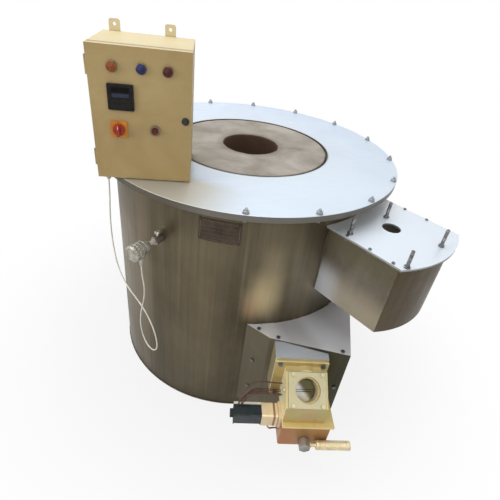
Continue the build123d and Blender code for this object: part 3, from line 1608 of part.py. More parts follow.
# Inside the cabinet
plate_gap = 8.0
plate_back = inner_back - plate_gap
rail_low = 120.0
rail_drop = 117.0
rail_heights = (rail_low, cabinet_height - rail_drop)
rail_height = 35.0
rail_depth = 7.5
mount_plate_thickness = 2.0
rail_front = plate_back - mount_plate_thickness - rail_depth
with BuildPart() as mounting_plate:
    with BuildSketch(cabinet_face(plate_back)):
        with Locations((cabinet_middle, cabinet_height / 2)):
            Rectangle(cabinet_width - 40, cabinet_height - 50)
    extrude(amount=mount_plate_thickness)
    with BuildSketch(cabinet_face(plate_back)):
        with Locations((cabinet_middle, cabinet_height / 2)):
            with GridLocations(cabinet_width - 60, cabinet_height - 70, 2, 2):
                Circle(5)
    extrude(amount=-plate_gap)
    # two top hat rails
    with BuildSketch(cabinet_face(plate_back - mount_plate_thickness)):
        with Locations(*[(cabinet_middle, height) for height in rail_heights]):
            Rectangle(cabinet_width - 60, rail_height - 10)
    extrude(amount=rail_depth - 1)
    with BuildSketch(cabinet_face(rail_front + 1)):
        with Locations(*[(cabinet_middle, height) for height in rail_heights]):
            Rectangle(cabinet_width - 60, rail_height)
    extrude(amount=1)
mounting_plate.part.label = "mounting_plate"
export_step(mounting_plate.part, "parts/mounting_plate.step")


# Devices on the rails: a body and a nose of each, as (width, height, depth)
breaker_row = [(60 + place * 18.5, rail_heights[1]) for place in range(3)]
contactor_start = 150.0
contactor_row = [(contactor_start + place * 56, rail_heights[1]) for place in range(2)]
terminal_row = [(62 + place * 10, rail_heights[0]) for place in range(12)]
relay_start = 206.0
relay_row = [(relay_start + place * 31, rail_heights[0]) for place in range(2)]

with BuildPart() as switchgear:
    for row, body_size, nose_size in (
        (breaker_row, (18, 80, 62), (17, 44, 70)),
        (contactor_row, (45, 75, 78), (30, 40, 86)),
        (relay_row, (28, 68, 40), (22, 30, 58)),
    ):
        for width, tall, deep in (body_size, nose_size):
            with BuildSketch(cabinet_face(rail_front)):
                with Locations(*row):
                    Rectangle(width, tall)
            extrude(amount=deep)
switchgear.part.label = "switchgear"
export_step(switchgear.part, "parts/switchgear.step")

with BuildPart() as terminal_strip:
    for width, tall, deep in ((9.6, 45, 34), (6, 26, 40)):
        with BuildSketch(cabinet_face(rail_front)):
            with Locations(*terminal_row):
                Rectangle(width, tall)
        extrude(amount=deep)
terminal_strip.part.label = "terminal_strip"
export_step(terminal_strip.part, "parts/terminal_strip.step")

# Thermocouple lead: hangs free from the cabinet gland, loops and climbs to the head.
# Its route is set along the line between the two glands, in height, and outwards.
lead_start = cabinet_point(*cabinet_gland_place, -cabinet_gland_drop)
lead_end = (*on_circle(shell_radius + gland_start, couple_angle), gland_top - gland_length)
lead_span = sqrt((lead_end[0] - lead_start[0]) ** 2 + (lead_end[1] - lead_start[1]) ** 2)
lead_along = ((lead_end[0] - lead_start[0]) / lead_span, (lead_end[1] - lead_start[1]) / lead_span)
lead_outward = (lead_along[1], -lead_along[0])
lead_steps = [
    (-4, 938, 0),
    (-14, 880, 0),
    (-19, 820, 1),
    (-18, 760, 2),
    (-8, 702, 4),
    (14, 650, 7),
    (52, 612, 10),
    (104, 590, 12),
    (160, 582, 13),
    (208, 562, 12),
    (244, 520, 8),
    (264, 464, 4),
    (262, 406, 0),
    (232, 360, -3),
    (184, 346, -5),
    (146, 376, -6),
    (134, 430, -6),
    (142, 488, -6),
    (160, 544, -6),
    (178, 600, -5),
    (186, 656, -3),
]
lead_points = (
    [lead_start]
    + [
        (
            lead_start[0] + lead_along[0] * along + lead_outward[0] * out,
            lead_start[1] + lead_along[1] * along + lead_outward[1] * out,
            height,
        )
        for along, height, out in lead_steps
    ]
    + [(lead_end[0], lead_end[1], lead_end[2] - 42), lead_end]
)
with BuildPart() as couple_lead:
    lead_length = sweep_tube(lead_points, lead_radius)
couple_lead.part.label = "couple_lead"
export_step(couple_lead.part, "parts/couple_lead.step")

print("lead radii", [round(radius) for radius in tangent_radii(lead_points)])
print("lead length", round(lead_length))
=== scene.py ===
import json
import math
import random
import bmesh
import bpy
from mathutils import Matrix, Vector, noise


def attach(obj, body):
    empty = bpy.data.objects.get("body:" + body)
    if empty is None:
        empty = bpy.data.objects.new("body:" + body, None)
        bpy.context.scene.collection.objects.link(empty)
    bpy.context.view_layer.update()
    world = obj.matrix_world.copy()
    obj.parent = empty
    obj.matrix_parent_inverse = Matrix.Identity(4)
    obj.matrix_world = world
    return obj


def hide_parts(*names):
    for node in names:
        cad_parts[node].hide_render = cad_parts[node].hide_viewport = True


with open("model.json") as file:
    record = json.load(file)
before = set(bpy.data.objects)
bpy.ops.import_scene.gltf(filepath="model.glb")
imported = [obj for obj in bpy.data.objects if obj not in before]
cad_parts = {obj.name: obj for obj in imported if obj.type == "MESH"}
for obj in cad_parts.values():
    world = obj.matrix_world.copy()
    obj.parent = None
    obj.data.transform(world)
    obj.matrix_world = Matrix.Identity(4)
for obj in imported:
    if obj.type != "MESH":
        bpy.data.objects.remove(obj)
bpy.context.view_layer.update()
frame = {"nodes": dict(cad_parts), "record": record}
cadNodes = frame["nodes"]

mm = 0.001


# Places, worked out the way the CAD works them out, in millimetres
def onCircle(radius, angle, height=0):
    return Vector((radius * math.cos(math.radians(angle)), radius * math.sin(math.radians(angle)), height))


def seatFrame(origin, xAxis, zAxis):
    # a matrix in metres for a piece that is made in millimetres round its own origin
    z = Vector(zAxis).normalized()
    y = z.cross(Vector(xAxis)).normalized()
    turn = Matrix((y.cross(z), y, z)).transposed().to_4x4()
    return Matrix.Translation(Vector(origin) * mm) @ turn @ Matrix.Scale(mm, 4)


up = Vector((0, 0, 1))
drumRadius, drumTop = 541, 1009
flueAlong, flueAcross = onCircle(1, -66.5), onCircle(1, 23.5)
burnerOut, burnerSide = onCircle(1, -105), onCircle(1, -15)
coupleOut, coupleTangent, coupleHeight = onCircle(1, -139.5), onCircle(1, -49.5), 809
cabinetSide, cabinetBack = onCircle(1, -12), onCircle(1, 78)
cabinetCorner = Vector((-594, -286, drumTop))


def fluePoint(along, across, height):
    return flueAlong * along + flueAcross * across + up * height


def burnerPoint(across, out, height):
    return burnerSide * across + burnerOut * out + up * height


def couplePoint(reach):
    return coupleOut * (drumRadius + reach) + up * coupleHeight


def cabinetPoint(across, back, height):
    return cabinetCorner + cabinetSide * across + cabinetBack * back + up * height


def faceSeat(across, height, back=0.0):
    # a place on the cabinet's door, looking out of it
    return seatFrame(cabinetPoint(across, back, height), cabinetSide, -cabinetBack)


def addObject(name, data):
    thing = bpy.data.objects.new(name, data)
    bpy.context.scene.collection.objects.link(thing)
    return thing


# Camera, fitted to the photograph
def addCamera():
    shot = {"place": (-536.4, -1522.7, 1586.2), "yaw": 0.3699, "pitch": 0.6072, "roll": 0.1310,
            "focalPixels": 397.9, "centre": (248.6, 251.7), "frame": 500, "sensor": 36}
    level = Vector((math.sin(shot["yaw"]), math.cos(shot["yaw"]), 0))
    right = Vector((math.cos(shot["yaw"]), -math.sin(shot["yaw"]), 0))
    ahead = level * math.cos(shot["pitch"]) - up * math.sin(shot["pitch"])
    above = up * math.cos(shot["pitch"]) + level * math.sin(shot["pitch"])
    camRight = right * math.cos(shot["roll"]) + above * math.sin(shot["roll"])
    camUp = above * math.cos(shot["roll"]) - right * math.sin(shot["roll"])
    lens = bpy.data.cameras.new("photoLens")
    lens.sensor_width = shot["sensor"]
    lens.lens = shot["sensor"] * shot["focalPixels"] / shot["frame"]
    lens.shift_x = 0.5 - shot["centre"][0] / shot["frame"]
    lens.shift_y = shot["centre"][1] / shot["frame"] - 0.5
    camera = addObject("photoCamera", lens)
    turn = Matrix((camRight, camUp, -ahead)).transposed().to_4x4()
    camera.matrix_world = Matrix.Translation(Vector(shot["place"]) * mm) @ turn
    bpy.context.scene.camera = camera
    bpy.context.scene.view_settings.view_transform = "Standard"


addCamera()
print("camera placed")


class Shader:
    # a node tree with short calls for adding and joining nodes
    def __init__(self, tree):
        self.tree, self.nodes, self.column = tree, tree.nodes, 0

    def add(self, kind, inputs=None, **settings):
        node = self.nodes.new(kind if kind.startswith("NodeGroup") else "ShaderNode" + kind)
        self.column += 1
        node.location = (180 * (self.column % 12), -220 * (self.column // 12))
        for name, value in settings.items():
            setattr(node, name, value)
        for name, value in (inputs or {}).items():
            self.feed(node, name, value)
        return node

    def feed(self, node, name, value):
        socket = node.inputs[name]
        if isinstance(value, bpy.types.NodeSocket):
            self.tree.links.new(value, socket)
        else:
            socket.default_value = (*value[:3], 1) if socket.type == "RGBA" else value

    def math(self, operation, first, second=0.0, clamp=False):
        return self.add("Math", {0: first, 1: second}, operation=operation, use_clamp=clamp).outputs[0]

    def times(self, *values):
        product = values[0]
        for value in values[1:]:
            product = self.math("MULTIPLY", product, value)
        return product

    def vector(self, operation, first, second=(0, 0, 0)):
        outputs = self.add("VectorMath", {0: first, 1: second}, operation=operation).outputs
        return outputs["Value" if operation in ("DOT_PRODUCT", "LENGTH") else "Vector"]

    def place(self):
        return self.add("TexCoord").outputs["Object"]

    def cloud(self, where, scale, detail, **more):
        return self.add("TexNoise", {"Vector": where, "Scale": scale, "Detail": detail,
                                     **more}).outputs["Fac"]

    def mixColour(self, factor, first, second):
        return self.add("Mix", {0: factor, 6: first, 7: second}, data_type="RGBA").outputs[2]

    def ramp(self, value, low, high):
        return self.add("MapRange", {"Value": value, "From Min": low, "From Max": high},
                        interpolation_type="SMOOTHSTEP").outputs[0]

    def cover(self, share, colour):
        # one more colour over what the material has
        skin = self.nodes["Principled BSDF"]
        under = skin.inputs["Base Color"].links[0].from_socket
        self.feed(skin, "Base Color", self.mixColour(share, under, colour))


# Effects that several finishes share
groups = {}


def newGroup(name, ins, *outs):
    group = groups[name] = bpy.data.node_groups.new(name, "ShaderNodeTree")
    for label, value in ins.items():
        kind = "Color" if value is None else "Vector" if isinstance(value, tuple) else "Float"
        socket = group.interface.new_socket(label, in_out="INPUT", socket_type="NodeSocket" + kind)
        if value is not None:
            socket.default_value = value
    for label in outs:
        kind = "Color" if label == "Colour" else "Float"
        group.interface.new_socket(label, in_out="OUTPUT", socket_type="NodeSocket" + kind)
    s = Shader(group)
    return s, s.add("NodeGroupInput").outputs, s.add("NodeGroupOutput")


def buildEdgeWear():
    # bright or bare metal where an outer edge has been rubbed
    s, given, out = newGroup("edgeWear", {"Width": 0.003, "Amount": 0.6, "Breakup": 60.0}, "Mask")
    rounded = s.add("Bevel", {"Radius": given["Width"]}, samples=6).outputs[0]
    edge = s.ramp(s.vector("DOT_PRODUCT", rounded, s.add("NewGeometry").outputs["Normal"]), 0.995, 0.86)
    patches = s.ramp(s.cloud(s.place(), given["Breakup"], 5.0), 0.38, 0.62)
    s.feed(out, "Mask", s.math("MULTIPLY", s.times(edge, patches), given["Amount"], clamp=True))


def buildToneDrift():
    # slow drift between two tones
    s, given, out = newGroup("toneDrift", {"Light": None, "Dark": None, "Scale": 6.0, "Contrast": 0.5},
                             "Colour", "Mask")
    large = s.cloud(s.place(), given["Scale"], 6.0, Roughness=0.62, Distortion=0.4)
    spread = s.times(s.math("SUBTRACT", large, 0.5), given["Contrast"], 4.0)
    mask = s.math("ADD", spread, 0.5, clamp=True)
    s.feed(out, "Colour", s.mixColour(mask, given["Dark"], given["Light"]))
    s.feed(out, "Mask", mask)


def buildBrushLines():
    # rolled or brushed lines: stretched noise, given as a height and as a mask
    s, given, out = newGroup("brushLines", {"Stretch": (4.0, 4.0, 160.0)}, "Height", "Mask")
    lines = s.cloud(s.vector("MULTIPLY", s.place(), given["Stretch"]), 1.0, 8.0, Roughness=0.7)
    s.feed(out, "Height", lines)
    s.feed(out, "Mask", s.ramp(lines, 0.35, 0.65))


def buildCastGrain():
    # sand-cast or powder-coated skin: fine grain with a few pits
    s, given, out = newGroup("castGrain", {"Grain": 700.0, "Pits": 0.3}, "Height", "Mask")
    where = s.place()
    cells = s.add("TexVoronoi", {"Vector": where, "Scale": s.times(given["Grain"], 0.25)}).outputs["Distance"]
    pit = s.times(s.ramp(cells, 0.22, 0.05), given["Pits"])
    s.feed(out, "Height", s.math("SUBTRACT", s.cloud(where, given["Grain"], 4.0), pit))
    s.feed(out, "Mask", pit)


def buildGrimeAndShade():
    # dust and soot together with painted shade: darker in corners and recesses by ambient occlusion, with
    # drips below
    s, given, out = newGroup("grime", {"Reach": 0.03, "Amount": 0.5}, "Mask")
    corner = s.add("AmbientOcclusion", {"Distance": given["Reach"]}, samples=8).outputs["AO"]
    drips = s.cloud(s.vector("MULTIPLY", s.place(), (26.0, 26.0, 3.0)), 1.0, 5.0)
    broken = s.times(s.ramp(corner, 0.95, 0.35), s.math("ADD", drips, 0.35))
    s.feed(out, "Mask", s.math("MULTIPLY", broken, given["Amount"], clamp=True))


def buildSpots():
    # scattered specks: scale, rust flecks or spatter
    s, given, out = newGroup("spots", {"Scale": 90.0, "Size": 0.12, "Cover": 0.5}, "Mask")
    where = s.place()
    cells = s.add("TexVoronoi", {"Vector": where, "Scale": given["Scale"]}).outputs["Distance"]
    dots = s.ramp(s.math("SUBTRACT", given["Size"], cells), 0.0, 0.05)
    area = s.ramp(s.cloud(where, 9.0, 3.0), s.math("SUBTRACT", 1.0, given["Cover"]), 0.75)
    s.feed(out, "Mask", s.math("MULTIPLY", dots, area, clamp=True))


def buildPassivate():
    # the yellow, pink and green play of colour on zinc
    s, given, out = newGroup("passivate", {"Yellow": None, "Pink": None, "Green": None, "Scale": 14.0},
                             "Colour")
    where = s.place()
    first = s.cloud(where, given["Scale"], 5.0, Distortion=1.2)
    second = s.cloud(where, s.times(given["Scale"], 1.7), 3.0, Distortion=0.8)
    colour = s.mixColour(s.ramp(first, 0.5, 0.68), given["Yellow"], given["Pink"])
    s.feed(out, "Colour", s.mixColour(s.times(s.ramp(second, 0.52, 0.7), 0.8), colour, given["Green"]))


for build in (buildEdgeWear, buildToneDrift, buildBrushLines, buildCastGrain, buildGrimeAndShade, buildSpots,
              buildPassivate):
    build()


def useGroup(s, name, inputs):
    return s.add("Group", inputs, node_tree=groups[name]).outputs


def linear(colour):
    # from the 0 to 255 colour that a picture shows to the shader's linear colour
    shares = [value / 255 for value in colour]
    return tuple(share / 12.92 if share <= 0.04045 else ((share + 0.055) / 1.055) ** 2.4 for share in shares)


usualGrain = (700, 0.0003, 0.2)  # size, depth and pits
usualGrimeAndShade = (0.4, 0.03, (58, 50, 40))  # amount, reach and colour
steelWear = (0.7, (196, 194, 188), True)  # amount, colour and bare metal or not; a width comes before them


def filled(given, usual):
    # a short recipe made up with the usual values
    return given + usual[len(given):]


def finish(name, light, dark, drift, rough, metallic=0.0, contrast=0.5, lines=None, grain=None, spots=None,
           wear=None, grime=None, coat=0.0, specular=0.5):
    material = bpy.data.materials.new(name)
    material.use_nodes = True
    s = Shader(material.node_tree)
    deep = linear(dark)
    tone = useGroup(s, "toneDrift", {"Light": linear(light), "Dark": deep, "Scale": drift,
                                     "Contrast": contrast})
    colour, height, metal = tone["Colour"], None, metallic
    roughness = s.add("MapRange", {"Value": tone["Mask"], "To Min": rough[1], "To Max": rough[0]}).outputs[0]
    if lines:
        stretch, depth = lines
        brushed = useGroup(s, "brushLines", {"Stretch": stretch})
        height = s.times(brushed["Height"], depth)
        colour = s.mixColour(s.times(brushed["Mask"], 0.18), colour, deep)
        roughness = s.math("ADD", roughness, s.times(brushed["Mask"], 0.1))
    if grain:
        size, depth, pits = filled(grain, usualGrain)
        cast = useGroup(s, "castGrain", {"Grain": size, "Pits": pits})
        extra = s.times(cast["Height"], depth)
        height = s.math("ADD", height, extra) if height else extra
        colour = s.mixColour(cast["Mask"], colour, deep)
    if spots:
        scale, size, share, speckColour = spots
        specks = useGroup(s, "spots", {"Scale": scale, "Size": size, "Cover": share})["Mask"]
        colour = s.mixColour(specks, colour, linear(speckColour))
        roughness = s.math("ADD", roughness, s.times(specks, 0.25), clamp=True)
    if wear:
        width, amount, under, bare = wear
        rubbed = useGroup(s, "edgeWear", {"Width": width, "Amount": amount})["Mask"]
        colour = s.mixColour(rubbed, colour, linear(under))
        roughness = s.math("SUBTRACT", roughness, s.times(rubbed, 0.12), clamp=True)
        if metallic < 0.5 and bare:
            metal = s.math("MAXIMUM", rubbed, metallic)
    # dirt and painted shade in corners and recesses
    if grime:
        amount, reach, dustAndPaintedLight = filled(grime, usualGrimeAndShade)
        dirtAndShade = useGroup(s, "grime", {"Reach": reach, "Amount": amount})["Mask"]
        colour = s.mixColour(dirtAndShade, colour, linear(dustAndPaintedLight))
        roughness = s.math("ADD", roughness, s.times(dirtAndShade, 0.3), clamp=True)
    skin = s.nodes["Principled BSDF"]
    for socket, value in (("Base Color", colour), ("Roughness", roughness), ("Metallic", metal),
                          ("Specular IOR Level", specular), ("Coat Weight", coat)):
        s.feed(skin, socket, value)
    if height:
        s.feed(skin, "Normal", s.add("Bump", {"Height": height, "Strength": 1.0, "Distance": 1.0}).outputs[0])
    return material


def zincFinish(name, yellow, pink, green, scale=14.0, metallic=0.55, **more):
    material = finish(name, yellow, tuple(v * 0.8 for v in yellow), 9.0, (0.34, 0.5), metallic, **more)
    s = Shader(material.node_tree)
    play = useGroup(s, "passivate", {"Yellow": linear(yellow), "Pink": linear(pink), "Green": linear(green),
                                     "Scale": scale})
    s.cover(0.75, play["Colour"])
    return material


# Mesh helpers: every one takes a bmesh, millimetres and a seat matrix that turns them to metres
def polar(radius, angle, height):
    return Vector((radius * math.cos(angle), radius * math.sin(angle), height))


def ringOf(bm, radius, height, segments, seat):
    count = segments if radius >= 0.001 else 1
    return [bm.verts.new(seat @ polar(radius if count > 1 else 0, i * math.tau / count, height))
            for i in range(count)]


def joinRings(bm, rings, capped=False):
    for low, high in zip(rings, rings[1:]):
        count = max(len(low), len(high))
        for i in range(count):
            j = (i + 1) % count
            corners = [low[i % len(low)], low[j % len(low)], high[j % len(high)], high[i % len(high)]]
            once = list(dict.fromkeys(corners))
            if len(once) > 2:
                bm.faces.new(once)
    if capped:
        bm.faces.new(rings[0][::-1])
        bm.faces.new(rings[-1])


def lathe(bm, profile, seat, segments=48):
    joinRings(bm, [ringOf(bm, radius, height, segments, seat) for radius, height in profile])


def slab(bm, outline, low, high, seat):
    # a plate with any outline, from low to high
    joinRings(bm, [[bm.verts.new(seat @ Vector((x, y, z))) for x, y in outline] for z in (low, high)], True)


def roundedOutline(width, height, radius, steps=5, centre=(0, 0)):
    points = []
    for corner, (sx, sy) in enumerate(((1, 1), (-1, 1), (-1, -1), (1, -1))):
        for i in range(steps + 1):
            angle = math.radians(90 * corner + 90 * i / steps)
            points.append((centre[0] + sx * (width / 2 - radius) + radius * math.cos(angle),
                           centre[1] + sy * (height / 2 - radius) + radius * math.sin(angle)))
    return points


def block(bm, centre, size, seat, radius):
    slab(bm, roundedOutline(size[0], size[1], radius, 2), -size[2] / 2, size[2] / 2,
         seat @ Matrix.Translation(Vector(centre)))


def hexPiece(bm, flats, low, high, seat, bore=0.0, turn=0.0, chamferBoth=True):
    # nut or bolt head: six flats whose corners are turned down to a cone
    segments, crown, slope = 36, flats * 0.475, math.tan(math.radians(30))
    place = seat @ Matrix.Rotation(turn, 4, "Z")
    reaches = [flats / 2 / math.cos((i % 6 - 3) * math.tau / segments) for i in range(segments)]

    def ring(height, lift, capped):
        points = []
        for i, reach in enumerate(reaches):
            drop = 0 if capped else max(0.0, reach - crown) * slope * lift
            radius = min(reach, crown) if capped else reach
            points.append(bm.verts.new(place @ polar(radius, (i - 3) * math.tau / segments, height - drop)))
        return points
    rings = [ring(low, 0, chamferBoth), ring(low, -1 if chamferBoth else 0, False), ring(high, 1, False),
             ring(high, 0, True)]
    if bore:
        inner = [ringOf(bm, bore, height, segments, place) for height in (high, low)]
        joinRings(bm, rings + inner + rings[:1])
    else:
        joinRings(bm, rings, True)


def threadedRod(bm, radius, low, high, seat, pitch, depth):
    # a screw thread as one helical skin, with a chamfered end
    segments, rowsPerTurn, taper = 20, 5, 1.2
    rows = max(4, round((high - low) / pitch * rowsPerTurn))
    rings = []
    for row in range(rows + 1):
        height = low + (high - low) * row / rows
        worn = depth * 1.1 * (1 - min(1.0, (high - height) / taper))
        ring = []
        for i in range(segments):
            cut = depth * (1 - abs(2 * ((height / pitch - i / segments) % 1) - 1))
            ring.append(bm.verts.new(seat @ polar(radius - max(cut, worn), i * math.tau / segments, height)))
        rings.append(ring)
    joinRings(bm, rings, True)


def lobedLathe(bm, profile, seat, lobes, depth, low, high, segments):
    # a turned form whose rim between low and high is cut into shallow lobes
    first = len(bm.verts)
    lathe(bm, profile, Matrix(), segments)
    for vert in list(bm.verts)[first:]:
        radius = math.hypot(vert.co.x, vert.co.y)
        if low <= vert.co.z <= high and radius > 1:
            cut = depth * (0.5 - 0.5 * math.cos(lobes * math.atan2(vert.co.y, vert.co.x)))
            vert.co.x -= vert.co.x / radius * cut
            vert.co.y -= vert.co.y / radius * cut
        vert.co = seat @ vert.co


def sweep(bm, path, radii, segments=6):
    # a round skin along a path, with a radius for each point of it
    rings, before = [], None
    for i, place in enumerate(path):
        ahead = (path[min(i + 1, len(path) - 1)] - path[max(i - 1, 0)]).normalized()
        before = (before - before.project(ahead) if before else ahead.orthogonal()).normalized()
        across = ahead.cross(before)
        rings.append([bm.verts.new((place + (before * math.cos(a) + across * math.sin(a)) * radii[i]) * mm)
                      for a in (k * math.tau / segments for k in range(segments))])
    joinRings(bm, rings, True)


def weldBead(bm, points, radius, ripple=5.0, seed=0):
    # a bead of weld along a path, with ripples across it and slower swelling
    bead = {"rowsPerRipple": 3, "ripples": 0.16, "swelling": 0.22, "end": 0.4}
    path = [points[0]]
    for start, end in zip(points, points[1:]):
        steps = max(1, round((end - start).length / (ripple / bead["rowsPerRipple"])))
        path += [start.lerp(end, i / steps) for i in range(1, steps + 1)]
    travelled, radii = 0.0, []
    for i, place in enumerate(path):
        travelled += (place - path[i - 1]).length if i else 0
        wave = bead["ripples"] * math.sin(travelled / ripple * math.tau)
        wave += bead["swelling"] * noise.noise(place * 0.05 + Vector((seed, 0, 0)))
        radii.append(radius * (1 + wave) * (bead["end"] if i in (0, len(path) - 1) else 1))
    sweep(bm, path, radii)


def curvePoints(places, steps=9):
    # a smooth path through a few places
    path = []
    places = [Vector(place) for place in places]
    places = [places[0]] + places + [places[-1]]
    for a, b, c, d in zip(places, places[1:], places[2:], places[3:]):
        for t in (i / steps for i in range(steps)):
            path.append(0.5 * ((2 * b) + (c - a) * t + (2 * a - 5 * b + 4 * c - d) * t * t
                               + (3 * b - a - 3 * c + d) * t * t * t))
    return path + [places[-1]]


def addCore(bm, places, radius, segments=6):
    path = curvePoints(places)
    sweep(bm, path, [radius] * len(path), segments)


def softenEdges(thing, width, angle=32):
    rounding = thing.modifiers.new("softEdges", "BEVEL")
    rounding.width = width * mm
    rounding.segments = 2
    rounding.limit_method = "ANGLE"
    rounding.angle_limit = math.radians(angle)
    rounding.harden_normals = True
    thing.modifiers.new("evenShade", "WEIGHTED_NORMAL").keep_sharp = True


def makePiece(name, bm, slot, body="root", replaces=None, edge=0.0, sharp=38, material=None):
    bmesh.ops.recalc_face_normals(bm, faces=bm.faces)
    mesh = bpy.data.meshes.new(name)
    bm.to_mesh(mesh)
    bm.free()
    mesh.shade_smooth()
    mesh.materials.append(material or finishes[slot])
    piece = addObject(name, mesh)
    if edge:
        softenEdges(piece, edge)
    else:
        mesh.set_sharp_from_angle(angle=math.radians(sharp))
    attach(piece, body)
    if replaces:
        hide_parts(replaces)


